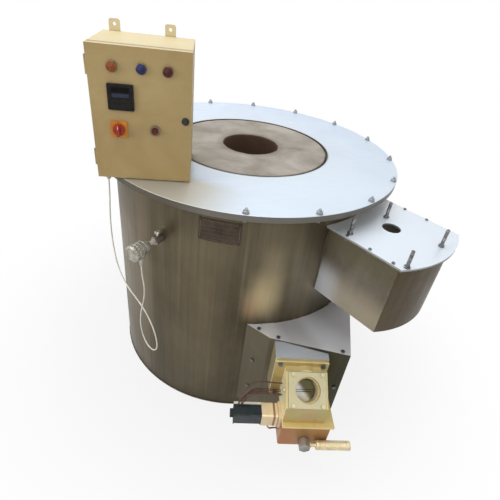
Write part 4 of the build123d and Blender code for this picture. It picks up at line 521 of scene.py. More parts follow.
# Finishes, each with its light and dark tone, the drift between them and its least and greatest roughness
finishes = {
    "shell_steel": finish(
        "rolledSteelShell", (108, 99, 80), (68, 61, 47), 2.2, (0.3, 0.46), 0.9, 0.55,
        ((60.0, 60.0, 1.2), 0.0001),
        spots=(130, 0.1, 0.42, (120, 112, 96)), wear=(0.003, *steelWear), grime=(0.5, 0.05)),
    "plate_silver": finish(
        "silverPlate", (210, 220, 232), (182, 192, 204), 3.0, (0.34, 0.5), 0.4, 0.4,
        ((3.0, 90.0, 3.0), 0.00006),
        spots=(60, 0.08, 0.4, (150, 146, 138)), wear=(0.003, 0.7, (232, 234, 236), True),
        grime=(0.45, 0.022, (96, 92, 86))),
    "sheet_steel": finish(
        "foldedSheet", (126, 118, 104), (84, 77, 65), 3.4, (0.3, 0.5), 0.85, 0.6, ((80.0, 2.0, 2.0), 0.0001),
        spots=(110, 0.1, 0.45, (84, 76, 64)), wear=(0.003, *steelWear), grime=(0.6, 0.04)),
    "fastener": finish("boltSteel", (128, 130, 132), (84, 86, 90), 60, (0.3, 0.5), 0.95,
                       wear=(0.0012, *steelWear), grime=(0.5, 0.008)),
    "fibre": finish("fibreBoard", (226, 220, 206), (196, 186, 166), 18, (0.85, 0.95), grain=(900, 0.0008),
                    grime=(0.4,)),
    "refractory": finish(
        "castRefractory", (162, 154, 144), (128, 120, 108), 7, (0.82, 0.95), contrast=0.75,
        grain=(420, 0.0009, 0.6), spots=(240, 0.16, 0.6, (112, 100, 84)), grime=(0.35, 0.02, (70, 58, 46))),
    "crucible_clay": finish("clayGraphite", (96, 88, 82), (52, 46, 42), 12, (0.6, 0.8), grain=(500, 0.0004),
                            grime=(0.3,)),
    "yellow_zinc": zincFinish("yellowZinc", (216, 196, 134), (206, 168, 140), (176, 186, 128),
                              grain=(520, 0.00018), wear=(0.002, *steelWear), grime=(0.45, 0.02)),
    "inlet_zinc": zincFinish(
        "inletZinc", (184, 176, 140), (196, 170, 152), (168, 172, 128), 22, grain=(700, 0.00014),
        spots=(300, 0.26, 0.85, (128, 98, 70)), wear=(0.0015, *steelWear), grime=(0.3, 0.01)),
    "flap_grey": finish("flapGrey", (150, 148, 142), (104, 100, 92), 30, (0.35, 0.5), 0.8,
                        grain=(600, 0.00012), wear=(0.0015, *steelWear), grime=(0.3, 0.01)),
    "orange_zinc": zincFinish(
        "orangeZinc", (172, 126, 76), (146, 86, 58), (158, 134, 78), 10, 0.45, grain=(460, 0.0002),
        wear=(0.002, 0.7, (214, 186, 130), True), grime=(0.5, 0.02, (70, 40, 24))),
    "union_brass": finish("unionBrass", (186, 170, 130), (132, 114, 80), 40, (0.28, 0.45), 0.95,
                          wear=(0.001, *steelWear), grime=(0.4, 0.008)),
    "lever_zinc": finish(
        "leverZinc", (236, 222, 184), (206, 188, 146), 30, (0.32, 0.5), 0.6, 0.8,
        spots=(300, 0.14, 0.5, (150, 128, 84)), wear=(0.0015, *steelWear), grime=(0.35, 0.01)),
    "valve_alloy": finish("valveAlloy", (230, 208, 164), (196, 168, 116), 24, (0.36, 0.52), 0.5,
                          grain=(520, 0.0002), wear=(0.0015, *steelWear), grime=(0.5, 0.014, (64, 50, 30))),
    "yoke_steel": finish("yokeSteel", (46, 54, 57), (28, 33, 36), 40, (0.42, 0.58), 0.3,
                         wear=(0.0009, *steelWear), grime=(0.3, 0.006), specular=0.3),
    "coil_black": finish("coilBlack", (38, 48, 52), (20, 24, 27), 26, (0.38, 0.55), grain=(800, 0.0001),
                         wear=(0.0015, 0.6, (96, 104, 104), False), grime=(0.3, 0.03, (96, 88, 74))),
    "wire_black": finish("wireSleeve", (92, 58, 44), (52, 32, 25), 50, (0.45, 0.6), grime=(0.3, 0.006)),
    "sheath_ceramic": finish("sheathCeramic", (216, 206, 190), (178, 164, 144), 40, (0.5, 0.7),
                             grain=(700, 0.0002), grime=(0.4, 0.01)),
    "couple_alloy": finish("coupleAlloy", (188, 184, 172), (128, 122, 108), 55, (0.34, 0.5), 0.6, 0.8,
                           grain=(600, 0.00016), wear=(0.0012, *steelWear), grime=(0.5, 0.01)),
    "gland_plastic": finish("glandPlastic", (206, 204, 196), (172, 168, 158), 60, (0.45, 0.6),
                            grime=(0.4, 0.006)),
    "plate_brown": finish(
        "platePaint", (70, 56, 42), (44, 34, 25), 22, (0.4, 0.6), 0.3, 0.8,
        spots=(300, 0.12, 0.5, (120, 98, 74)),
        wear=(0.001, 0.7, (150, 132, 108), True), grime=(0.3, 0.006)),
    "cabinet_cream": finish(
        "cabinetPowderCoat", (180, 156, 106), (156, 130, 82), 3.0, (0.42, 0.55), contrast=0.8,
        grain=(1100, 0.00012, 0.1), spots=(140, 0.06, 0.4, (150, 124, 82)),
        wear=(0.0018, 0.5, (206, 190, 150), False), grime=(0.4, 0.02, (120, 98, 60))),
    "seal_rubber": finish("sealRubber", (46, 46, 46), (26, 26, 26), 40, (0.6, 0.8), grain=(700,)),
    "bezel_chrome": finish("bezelChrome", (134, 122, 104), (92, 82, 66), 60, (0.3, 0.45), 0.7,
                           wear=(0.001, *steelWear), grime=(0.4, 0.005)),
    "controller_black": finish("controllerCase", (30, 27, 23), (18, 16, 13), 40, (0.5, 0.62), specular=0.2,
                               grain=(900, 0.00008), wear=(0.001, 0.5, (96, 96, 96), False)),
    "window_dark": finish("displayWindow", (26, 27, 34), (10, 9, 11), 14, (0.4, 0.5), contrast=1.0,
                          specular=0.12),
    "display_black": finish("displayBlack", (14, 11, 12), (7, 5, 6), 30, (0.35, 0.5), specular=0.1),
    "switch_yellow": finish("switchYellow", (214, 140, 38), (186, 110, 22), 40, (0.35, 0.5),
                            grain=(900, 0.00006), grime=(0.35, 0.006, (120, 60, 16))),
    "switch_red": finish("switchRed", (172, 44, 16), (128, 28, 9), 40, (0.3, 0.45), grain=(900, 0.00006),
                         grime=(0.4, 0.006, (70, 12, 6))),
    "button_red": finish("buttonRed", (98, 44, 18), (68, 28, 10), 40, (0.4, 0.55), specular=0.25,
                         grime=(0.4, 0.005, (40, 14, 8))),
    "lock_black": finish("lockBlack", (34, 34, 34), (18, 18, 18), 60, (0.4, 0.55),
                         wear=(0.001, 0.5, (90, 90, 90), False), grime=(0.2, 0.004)),
    "rail_zinc": finish("railZinc", (188, 192, 194), (150, 154, 156), 12, (0.3, 0.48), 0.85,
                        lines=((60.0, 4.0, 4.0), 0.00006), wear=(0.001, *steelWear), grime=(0.3,)),
    "device_grey": finish("deviceGrey", (178, 180, 178), (148, 150, 148), 20, (0.4, 0.55),
                          grain=(900, 0.00006), grime=(0.4, 0.008)),
    "terminal_beige": finish("terminalBeige", (204, 196, 168), (178, 168, 138), 40, (0.45, 0.6),
                             grime=(0.5, 0.006)),
    "lead_white": finish("leadBraid", (232, 230, 222), (206, 200, 188), 30, (0.5, 0.65), grain=(1400, 0.0001),
                         grime=(0.3, 0.006)),
}
for lamp, light, dark, dustAndPaintedLight in (("amber", (158, 80, 22), (116, 56, 14), (80, 36, 10)),
                                ("blue", (38, 46, 104), (22, 28, 66), (14, 18, 50)),
                                ("red", (84, 16, 3), (56, 9, 2), (50, 10, 6))):
    finishes["lamp_" + lamp] = finish("lamp" + lamp.capitalize(), light, dark, 50, (0.34, 0.46), coat=0.1,
                                      specular=0.3, grime=(0.3, 0.005, dustAndPaintedLight))
print("finishes made:", len(finishes))

nodeSlots = {entry["node"]: entry["material_slot"] for entry in frame["record"]["subparts"]}
for nodeName, node in cadNodes.items():
    node.data.materials.clear()
    node.data.materials.append(finishes[nodeSlots[nodeName]])


# The thermocouple's lead: out of the cabinet's gland, down past the head, round a low loop and up into it
def buildLead():
    lead = {"length": 1.258, "diameter": 0.005,
            "gland": (22, 36, -18), "headReach": 639, "headHeight": 745, "dip": 703,
            "steps": ((-4, 938, 0), (-14, 880, 0), (-19, 820, 1), (-18, 760, 2), (-8, 702, 4), (14, 650, 7),
                      (52, 612, 10), (104, 590, 12), (160, 582, 13), (208, 562, 12), (244, 520, 8),
                      (264, 464, 4), (262, 406, 0), (232, 360, -3), (184, 346, -5), (146, 376, -6),
                      (134, 430, -6), (142, 488, -6), (160, 544, -6), (178, 600, -5), (186, 656, -3))}
    start = cabinetPoint(*lead["gland"])
    end = onCircle(lead["headReach"], -139.5, lead["headHeight"])
    along = Vector((end.x - start.x, end.y - start.y, 0)).normalized()
    outward = Vector((along.y, -along.x, 0))
    route = [Vector((start.x, start.y, 0)) + along * a + outward * o + up * h for a, h, o in lead["steps"]]
    route = [start] + route + [Vector((end.x, end.y, lead["dip"])), end]
    curve = bpy.data.curves.new("coupleLead", "CURVE")
    curve.dimensions = "3D"
    curve.bevel_depth = lead["diameter"] / 2
    curve.bevel_resolution = 3
    curve.resolution_u = 10
    curve.use_fill_caps = True
    spline = curve.splines.new("NURBS")
    spline.points.add(len(route) - 1)
    for point, place in zip(spline.points, route):
        point.co = (*(place * mm), 1)
    spline.order_u = 3
    spline.use_endpoint_u = True
    piece = addObject("coupleLead", curve)
    curve.materials.append(finishes["lead_white"])
    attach(piece, "root")
    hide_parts("couple_lead")


buildLead()
print("lead hung")


# Masks for tones. Each takes its numbers, in metres or degrees, and is made when a material asks for it.
def byHeight(low, high):
    return lambda s: s.ramp(s.add("SeparateXYZ", {0: s.place()}).outputs[2], low, high)


def byReach(low, high):
    # by distance from the drum's axis
    return lambda s: s.ramp(s.vector("LENGTH", s.vector("MULTIPLY", s.place(), (1, 1, 0))), low, high)


def byLine(direction, low, high):
    # by distance along a direction
    return lambda s: s.ramp(s.vector("DOT_PRODUCT", s.place(), direction), low, high)


def onFaces(direction, low=0.25, high=0.7):
    # where a face looks along a direction
    return lambda s: s.ramp(s.vector("DOT_PRODUCT", s.add("NewGeometry").outputs["Normal"], direction),
                            low, high)


def offTop(s):
    return s.math("SUBTRACT", 1.0, onFaces(up, 0.2, 0.6)(s))


def inBand(angle, half, soft):
    # an upright band of the drum's wall
    def mask(s):
        toward = s.vector("NORMALIZE", s.vector("MULTIPLY", s.place(), (1, 1, 0)))
        off = s.math("ARCCOSINE", s.vector("DOT_PRODUCT", toward, onCircle(1, angle)))
        return s.ramp(off, math.radians(half + soft), math.radians(half))
    return mask


def inStreaks(across, along, low, high, shift):
    # long upright streaks: fine across the surface, drawn out in height
    def mask(s):
        drawn = s.vector("ADD", s.vector("MULTIPLY", s.place(), (across, across, along)),
                         (shift, shift, shift))
        return s.ramp(s.cloud(drawn, 1.0, 4.0), low, high)
    return mask


def tint(material, colour, amount, *masks):
    s = Shader(material.node_tree)
    s.cover(s.times(*[mask(s) for mask in masks], amount), linear(colour))


def tintNode(nodeName, name, *layers, base=None):
    # a node's own copy of its finish, with colours laid over it where their masks meet
    material = base or finishes[nodeSlots[nodeName]].copy()
    material.name = name
    cadNodes[nodeName].data.materials[0] = material
    for layer in layers:
        tint(material, *layer)


# Floor, backdrop light and lamps
def whiten(s, share, plain, kind, output):
    # white over a plain shader, for rays straight to the camera, in a reflection or through glass
    ray = s.add("LightPath").outputs
    shown = s.math("MAXIMUM", ray["Is Camera Ray"], ray["Is Glossy Ray"])
    seen = s.math("MAXIMUM", shown, ray["Is Transmission Ray"])
    white = s.add(kind, {"Color": (1, 1, 1), "Strength": 1.0}).outputs[0]
    mixed = s.add("MixShader", {0: s.times(share, seen), 1: s.nodes[plain].outputs[0], 2: white})
    s.feed(s.nodes[output], "Surface", mixed.outputs[0])


def setStage():
    stage = {"reach": 14, "cells": 24, "floor": (196, 195, 193), "floorWorn": (188, 187, 185), "lift": 0.84,
             "whiteFrom": 0.6, "whiteAt": 1.5, "air": (0.94, 0.97, 1.0), "airLevel": 0.42}
    bm = bmesh.new()
    bmesh.ops.create_grid(bm, x_segments=stage["cells"], y_segments=stage["cells"], size=stage["reach"])
    mesh = bpy.data.meshes.new("studioFloor")
    bm.to_mesh(mesh)
    bm.free()
    paper = finish("floorPaper", stage["floor"], stage["floorWorn"], 1.2, (0.9, 0.95), grain=(120, 0.0001),
                   specular=0.1)
    s = Shader(paper.node_tree)
    far = byReach(stage["whiteFrom"], stage["whiteAt"])(s)
    share = s.math("ADD", stage["lift"], s.times(far, 1 - stage["lift"]))
    whiten(s, share, "Principled BSDF", "Emission", "Material Output")
    mesh.materials.append(paper)
    addObject("studioFloor", mesh)
    world = bpy.data.worlds.new("studioAir")
    bpy.context.scene.world = world
    world.use_nodes = True
    s = Shader(world.node_tree)
    s.feed(s.nodes["Background"], "Color", stage["air"])
    s.feed(s.nodes["Background"], "Strength", stage["airLevel"])
    whiten(s, 1.0, "Background", "Background", "World Output")


def addLamp(name, place, aim, size, power, tint):
    lamp = bpy.data.lights.new(name, "AREA")
    lamp.shape = "RECTANGLE"
    lamp.size, lamp.size_y = size
    lamp.energy = power
    lamp.color = tint
    look = (Vector(aim) - Vector(place)).normalized().to_track_quat("-Z", "Y").to_matrix().to_4x4()
    addObject(name, lamp).matrix_world = Matrix.Translation(Vector(place)) @ look


setStage()
addLamp("skyBox", (-0.5, 0.4, 4.2), (0, 0, 0.6), (3.4, 3.4), 126, (0.96, 0.98, 1.0))
addLamp("frontBox", (-0.5, -3.4, 2.9), (0.0, -0.5, 0.5), (2.6, 1.8), 22, (1.0, 0.99, 0.97))
addLamp("leftWindow", (-3.6, -0.9, 2.0), (-0.2, -0.1, 0.7), (1.6, 2.4), 50, (1.0, 0.99, 0.97))
addLamp("rightFill", (3.2, -2.4, 2.2), (0.2, -0.3, 0.6), (2.0, 2.0), 8, (1.0, 0.97, 0.93))
print("stage set")


# Tones that belong to one node or to some of its faces: colour, amount and masks
def toneShell():
    # rolled steel: painted reflections in upright bands, then streaks, a painted shadow of the rim along the
    # top edge and darker towards the foot
    reflectionBands = ((-160, 7, 13, 0.0, 1.0, (124, 110, 88), 0.5), (-142, 3, 9, 0.0, 1.0, (88, 80, 60), 0.5),
             (-124, 4, 13, 0.16, 0.86, (116, 104, 82), 0.34), (-96, 0, 7, 0.60, 0.84, (172, 158, 128), 0.3),
             (-77, 3, 14, 0.56, 0.86, (126, 124, 110), 0.5), (-34, 8, 14, 0.0, 1.0, (70, 62, 48), 0.6),
             (30, 10, 18, 0.0, 1.0, (132, 122, 102), 0.5), (84, 6, 12, 0.0, 1.0, (84, 76, 60), 0.5),
             (128, 9, 14, 0.0, 1.0, (136, 124, 102), 0.55), (172, 6, 12, 0.0, 1.0, (92, 84, 66), 0.4))
    tintNode(
        "shell", "rolledShell",
        *[(colour, amount, inBand(angle, half, soft), byHeight(low - 0.06, low + 0.06),
           byHeight(high + 0.06, high - 0.06)) for angle, half, soft, low, high, colour, amount in reflectionBands],
        # the warm reflection above the port housing, with a rosy lower corner
        ((204, 188, 148), 0.74, inBand(-97.5, 1, 9), byHeight(0.50, 0.62), byHeight(0.80, 0.62)),
        ((176, 142, 112), 0.45, inBand(-102, 0, 6), byHeight(0.50, 0.58), byHeight(0.70, 0.60)),
        ((136, 122, 98), 0.34, inStreaks(7, 0.4, 0.50, 0.70, 3.1)),
        ((64, 56, 42), 0.3, inStreaks(11, 0.5, 0.52, 0.72, 8.4)),
        ((146, 134, 110), 0.2, inStreaks(42, 1.1, 0.54, 0.74, 1.7)),
        ((54, 48, 36), 0.22, inStreaks(64, 1.4, 0.56, 0.76, 5.2)),
        # painted shadow of the rim's overhang along the top edge
        ((74, 66, 50), 0.25, byHeight(0.80, 0.94)),
        ((62, 56, 44), 0.5, byHeight(0.93, 0.985)),
        # darker towards the foot
        ((66, 58, 40), 0.32, byHeight(0.46, 0.12)),
        # painted reflection: a darker upright band high on the left
        ((84, 72, 52), 0.55, inBand(-170, 8, 12), byHeight(0.74, 0.88)),
        # darker still at the foot
        ((62, 54, 40), 0.55, byHeight(0.09, 0.0)))


def toneTop():
    # painted shade on the side faces of the top plate and the rim ring, deeper on the left
    shadedSides = (((98, 90, 76), 0.92, offTop), ((70, 64, 50), 0.8, offTop, inBand(-160, 26, 16)))
    tintNode("top_plate", "topPlateSilver",
             ((72, 68, 62), 0.9, byReach(0.329, 0.323)),
             ((196, 202, 208), 0.35, byReach(0.44, 0.33)),
             ((198, 208, 216), 0.5, inBand(-75, 20, 45)),
             # painted reflection and shadow of the cream cabinet on the plate beside it
             ((170, 156, 122), 0.66, inBand(-142, 10, 26), byReach(0.40, 0.47)), *shadedSides)
    tintNode("rim_ring", "rimRingSilver", *shadedSides)
    # painted light on the cover's top, whitest towards its near end, and painted shade on its sides
    tintNode("flue_cover", "flueCoverSilver",
             ((212, 218, 224), 0.8, onFaces(up, 0.5, 0.85)),
             ((255, 255, 255), 0.6, onFaces(up, 0.5, 0.85), byLine(flueAlong, 0.66, 0.52)),
             ((150, 148, 146), 0.8, offTop))


def toneBoxes():
    left, front, top = onFaces(-flueAcross), onFaces(onCircle(1, -118), 0.5, 0.8), onFaces(up, 0.5, 0.85)
    # painted light and shade by face: a gradient down the left face, darker at its top and lighter low down,
    # and painted shade on the nose and the right face
    tintNode("flue_box", "flueBoxSheet",
             ((98, 92, 70), 0.6, left, byHeight(0.80, 0.90)),
             ((176, 166, 146), 0.72, left, byHeight(0.80, 0.68)),
             ((196, 198, 204), 0.85, left, byHeight(0.82, 0.70), byLine(flueAlong, 0.66, 0.56)),
             ((76, 64, 46), 0.85, onFaces(flueAlong, 0.2, 0.6)),
             ((80, 68, 50), 0.75, onFaces(flueAcross, 0.5, 0.8)))
    sheet = finish("portSheet", (126, 118, 102), (92, 84, 68), 3.4, (0.34, 0.52), 0.55, 0.6,
                   ((80.0, 2.0, 2.0), 0.0001), spots=(110, 0.1, 0.45, (84, 76, 64)), wear=(0.003, *steelWear),
                   grime=(0.45, 0.03))
    # painted light on the top with a painted reflection of the drum across it, and painted shade on the left
    # cheek, the front, the front's right part and the right side
    tintNode("port_housing", "portSheet",
             ((226, 226, 230), 0.97, top),
             ((150, 145, 143), 0.45, top, inBand(-86, 2, 6)),
             ((84, 76, 56), 0.75, onFaces(-burnerSide, 0.35, 0.75)),
             ((92, 84, 64), 0.75, front),
             ((50, 50, 28), 0.9, front, byLine(burnerSide, 0.22, 0.28)),
             ((84, 74, 58), 0.8, onFaces(onCircle(1, -28), 0.3, 0.75)), base=sheet)


def toneBurner():
    top, front, left = onFaces(up, 0.4, 0.8), onFaces(burnerOut, 0.4, 0.8), onFaces(-burnerSide, 0.5, 0.85)
    whole = byHeight(0.0, 0.1)
    slant = up * 0.75 + burnerSide * 0.66
    tintNode("burner_neck", "neckSilver",
             ((136, 137, 139), 0.85, onFaces(up, 0.0, 0.3)),
             ((156, 139, 84), 0.88, onFaces(burnerSide, 0.5, 0.85)),
             ((156, 139, 84), 0.88, left))
    tintNode("burner_body", "burnerBodyZinc",
             ((238, 212, 140), 0.8, byHeight(0.3115, 0.3075)),
             # painted light on the body's left face
             ((255, 246, 206), 0.95, left),
             ((196, 178, 132), 0.7, top, byHeight(0.40, 0.44)),
             ((160, 142, 92), 0.55, front, byHeight(0.30, 0.315)))
    tintNode("inlet_plate", "inletPlateZinc", ((172, 168, 136), 0.3, onFaces(burnerOut, -0.4, 0.3)))
    tintNode("air_flap", "flapPlate",
             # painted shade over the flap's upper part and painted light on its lower part
             ((78, 74, 46), 0.92, byLine(slant, 0.444, 0.456)),
             ((196, 198, 202), 0.8, byLine(slant, 0.450, 0.438)))
    tintNode("couple_socket", "coupleSocketSteel", ((156, 150, 142), 0.6, whole))
    tintNode("thumb_screw", "thumbScrewBright", ((220, 218, 212), 0.85, whole))
    tintNode("burner_bolts", "burnerBoltZinc", ((192, 182, 144), 0.8, byLine(burnerOut, 0.705, 0.715)))
    tintNode("cock_hub", "cockHubGrey", ((176, 174, 162), 0.6, byHeight(0.19, 0.24)))
    tintNode("gas_block", "gasBlockZinc",
             ((176, 112, 74), 0.5, left),
             ((170, 98, 62), 0.5, front, byLine(burnerSide, 0.24, 0.18)))
    tintNode("valve_body", "valveBodyAlloy",
             ((244, 226, 196), 0.35, byHeight(0.25, 0.255)),
             ((132, 84, 52), 0.85, byLine(burnerSide, 0.128, 0.131), byLine(burnerSide, 0.139, 0.136)))
    tintNode("coil_yoke", "coilYokePaint",
             ((226, 220, 206), 0.95, onFaces(up, 0.5, 0.85), byLine(burnerOut, 0.755, 0.751)))


def toneCabinet():
    # painted light on the top faces, a painted highlight along the top edge, and a painted shadow in the gap
    # where the door closes on the body
    joint = (cabinetCorner * mm).dot(cabinetBack) + 0.026
    # painted light on the top faces
    dustAndPaintedLight = ((196, 184, 144), 0.55, onFaces(up, 0.6, 0.9))
    tintNode("cabinet_body", "paint_cabinet_body", dustAndPaintedLight,
             # painted shadow in the gap where the door closes
             ((88, 74, 44), 0.9, byLine(cabinetBack, joint + 0.013, joint + 0.009), onFaces(up, 0.4, 0.8)),
             # painted highlight along the top edge
             ((226, 214, 176), 0.7, byHeight(1.393, 1.397)))
    tintNode("cabinet_door", "paint_cabinet_door", dustAndPaintedLight)


toneShell()
toneTop()
toneBoxes()
toneBurner()
toneCabinet()
print("tones laid")


# Crucible mouth: the cast collar, rough on top and chipped along its edges
def buildCollar():
    collar = {"outer": 314, "bore": 112, "low": 894, "chamfer": 4, "roughness": 0.9, "chip": 3.2,
              "chipReach": 9, "cells": 24}
    material = finishes["refractory"].copy()
    material.name = "collarCast"
    # the burnt colour runs down the bore and a little way over its edge
    tint(material, (74, 50, 32), 0.96, lambda s: s.math("MAXIMUM", byReach(0.1205, 0.1125)(s),
                                                        s.times(byReach(0.15, 0.116)(s), 0.35)))
    tint(material, (96, 86, 74), 0.8, byReach(0.306, 0.315))
    bm = bmesh.new()
    outer, bore, low, bevel, top = *(collar[k] for k in ("outer", "bore", "low", "chamfer")), drumTop
    profile = [(outer, low), (outer, low + 40), (outer, low + 80), (outer, top - bevel),
               (outer - bevel * 0.4, top - bevel * 0.3), (outer - bevel * 1.2, top)]
    profile += [(outer - bevel - (outer - bore - 2 * bevel) * i / collar["cells"], top)
                for i in range(1, collar["cells"])]
    profile += [(bore + bevel * 1.2, top), (bore + bevel * 0.4, top - bevel * 0.3), (bore, top - bevel),
                (bore, top - 12), (bore, top - 24), (bore, low + 60), (bore, low + 30), (bore, low),
                (outer, low)]
    lathe(bm, profile, Matrix.Scale(mm, 4), 192)
    bmesh.ops.remove_doubles(bm, verts=bm.verts, dist=0.00001)
    for vert in bm.verts:
        here = vert.co / mm
        radius = math.hypot(here.x, here.y)
        grain = noise.noise(here * 0.03) * 0.6 + noise.noise(here * 0.11) * 0.4
        nearest = min(abs(radius - bore), abs(radius - outer)) / collar["chipReach"]
        edge = max(0.0, 1 - nearest) * (1 if here.z > top - 8 else 0)
        bite = max(0.0, noise.noise(here * 0.045 + Vector((9, 3, 0))) - 0.12) * collar["chip"] * 2.4 * edge
        if here.z > top - 0.5:
            vert.co.z -= (collar["roughness"] * (0.5 + 0.5 * grain) + bite) * mm
        elif here.z > low + 1:
            shift = (0.6 * (grain + 0.6) * 0.6 + bite * 0.6) * (-1 if radius > 200 else 1)
            vert.co.x += here.x / radius * shift * mm
            vert.co.y += here.y / radius * shift * mm
    makePiece("mouthCollar", bm, "refractory", replaces="mouth_collar", sharp=50, material=material)


# Threaded studs for the flue hood, each screwed through a nut that sits on the cover
def buildFlueStuds():
    stud = {"reach": 714, "across": 27, "circle": 300, "radius": 6, "low": 926.5, "length": 60, "pitch": 1.75,
            "depth": 0.95, "nutFlats": 18, "nutHeight": 6}
    bm = bmesh.new()
    for k in range(4):
        spot = onCircle(stud["circle"] / 2, 45 + 90 * k)
        seat = seatFrame(fluePoint(stud["reach"] + spot.x, stud["across"] + spot.y, stud["low"]),
                         flueAlong, up)
        threadedRod(bm, stud["radius"], 0.0, stud["length"], seat, stud["pitch"], stud["depth"])
        hexPiece(bm, stud["nutFlats"], 0, stud["nutHeight"], seat, stud["radius"] - 0.5, 0.3 + k * 0.8)
    makePiece("flueStuds", bm, "fastener", replaces="flue_studs", sharp=30)


# Nuts, washers and threaded ends round the rim, with the hex heads under the ring
def buildRimBolts():
    rim = {"circle": 588, "phase": -41, "count": 16, "leftOut": (4, 5), "under": 987, "flats": 17,
           "washer": 11, "washerHeight": 2, "nutHeight": 8, "proud": 7, "radius": 5, "pitch": 1.5,
           "depth": 0.8, "headHeight": 6.4}
    bore, w, h = rim["radius"], rim["washer"], rim["washerHeight"]
    nutTop = h + rim["nutHeight"]
    bm = bmesh.new()
    random.seed(4)
    for k in range(rim["count"]):
        if k in rim["leftOut"]:
            continue
        angle = rim["phase"] - 360 / rim["count"] * k
        seat = seatFrame(onCircle(rim["circle"], angle, drumTop), onCircle(1, angle), up)
        turn = random.uniform(0, 1)
        lathe(bm, [(bore, 0), (w - 0.4, 0), (w, 0.4), (w, h - 0.4), (w - 0.4, h), (bore, h)], seat, 28)
        hexPiece(bm, rim["flats"], h, nutTop, seat, bore - 0.4, turn)
        threadedRod(bm, bore, h + 1, nutTop + rim["proud"], seat, rim["pitch"], rim["depth"])
        below = seatFrame(onCircle(rim["circle"], angle, rim["under"]), onCircle(1, angle), -up)
        hexPiece(bm, rim["flats"], 0, rim["headHeight"], below, 0, turn, chamferBoth=False)
    bright = finishes["fastener"].copy()
    bright.name = "rimBoltBright"
    tint(bright, (176, 180, 184), 0.6, byHeight(0.995, 1.006))
    makePiece("rimBolts", bm, "fastener", replaces="rim_bolts", sharp=30, material=bright)


# Runs of weld where the drum's sheets meet: under the ring, round the foot and up the seam at the back
def buildWelds():
    weld = {"under": 986, "foot": 7.5, "seam": 68, "seamLow": 14, "seamTop": 984}
    bm = bmesh.new()
    weldBead(bm, [onCircle(drumRadius + 1, 3 * i, weld["under"]) for i in range(121)], 3.6, 6)
    weldBead(bm, [onCircle(drumRadius + 0.5, 3 * i, weld["foot"]) for i in range(121)], 2.4, 6, 5)
    seam = [onCircle(drumRadius, weld["seam"], z) for z in range(weld["seamLow"], weld["seamTop"], 30)]
    weldBead(bm, seam, 2.2, seed=9)
    makePiece("drumWelds", bm, "shell_steel", sharp=60)


buildCollar()
buildFlueStuds()
buildRimBolts()
buildWelds()
print("drum details made")


# Edges of the CAD solids that stay in view get a small round, as sheet and castings have
def softenNodes():
    widths = {"base_plate": 1.5, "rim_ring": 1.2, "top_plate": 1.2, "flue_cover": 0.8, "flue_box": 1.2,
              "port_housing": 1.2, "shell": 0.8, "burner_neck": 2.2, "burner_body": 2.4, "inlet_plate": 1.4,
              "gas_block": 2.0, "cock_hub": 1.2, "air_flap": 0.8, "valve_body": 1.8, "gas_fittings": 0.7,
              "cabinet_body": 0.9, "cabinet_door": 0.9, "cabinet_frame": 0.5, "hinge_pins": 0.4,
              "lock_housing": 0.5, "fitting_bezels": 0.6, "mounting_plate": 0.4, "coil_yoke": 0.6,
              "thumb_screw": 0.5, "couple_socket": 0.6, "crucible": 2.0, "crucible_stand": 1.5,
              "flue_lining": 1.0, "burner_tile": 1.0}
    for name, width in widths.items():
        node = cadNodes[name]
        node.modifiers.new("joinedFaces", "WELD").merge_threshold = 0.00002
        flat = node.modifiers.new("wholeFaces", "DECIMATE")
        flat.decimate_type = "DISSOLVE"
        flat.angle_limit = math.radians(0.6)
        softenEdges(node, width, 28)


softenNodes()


# Corners of the flue box are closed with weld
def buildBoxWelds():
    flue = {"near": -90, "far": 248, "low": 648, "top": 916, "under": 647.5, "wall": 541.5, "radius": 3.0}

    def atWall(across, height):
        return fluePoint(math.sqrt(flue["wall"] ** 2 - across ** 2), across, height)
    bm = bmesh.new()
    for across in (flue["near"], flue["far"]):
        weldBead(bm, [atWall(across, z) for z in range(flue["low"], flue["top"], 30)], flue["radius"],
                 seed=across)
    run = [atWall(flue["near"] + (flue["far"] - flue["near"]) * i / 24, flue["under"]) for i in range(25)]
    weldBead(bm, run, flue["radius"], seed=3)
    makePiece("flueWelds", bm, "sheet_steel", sharp=60)


buildBoxWelds()


# Thermocouple head and its screwed lid
def crossScrew(bm, seat, radius, height):
    # pan head with a cross cut, standing on the seat
    lathe(bm, [(radius, 0), (radius, height * 0.35), (radius * 0.86, height * 0.8), (radius * 0.55, height),
               (radius * 0.2, height), (0, height * 0.45)], seat, 20)


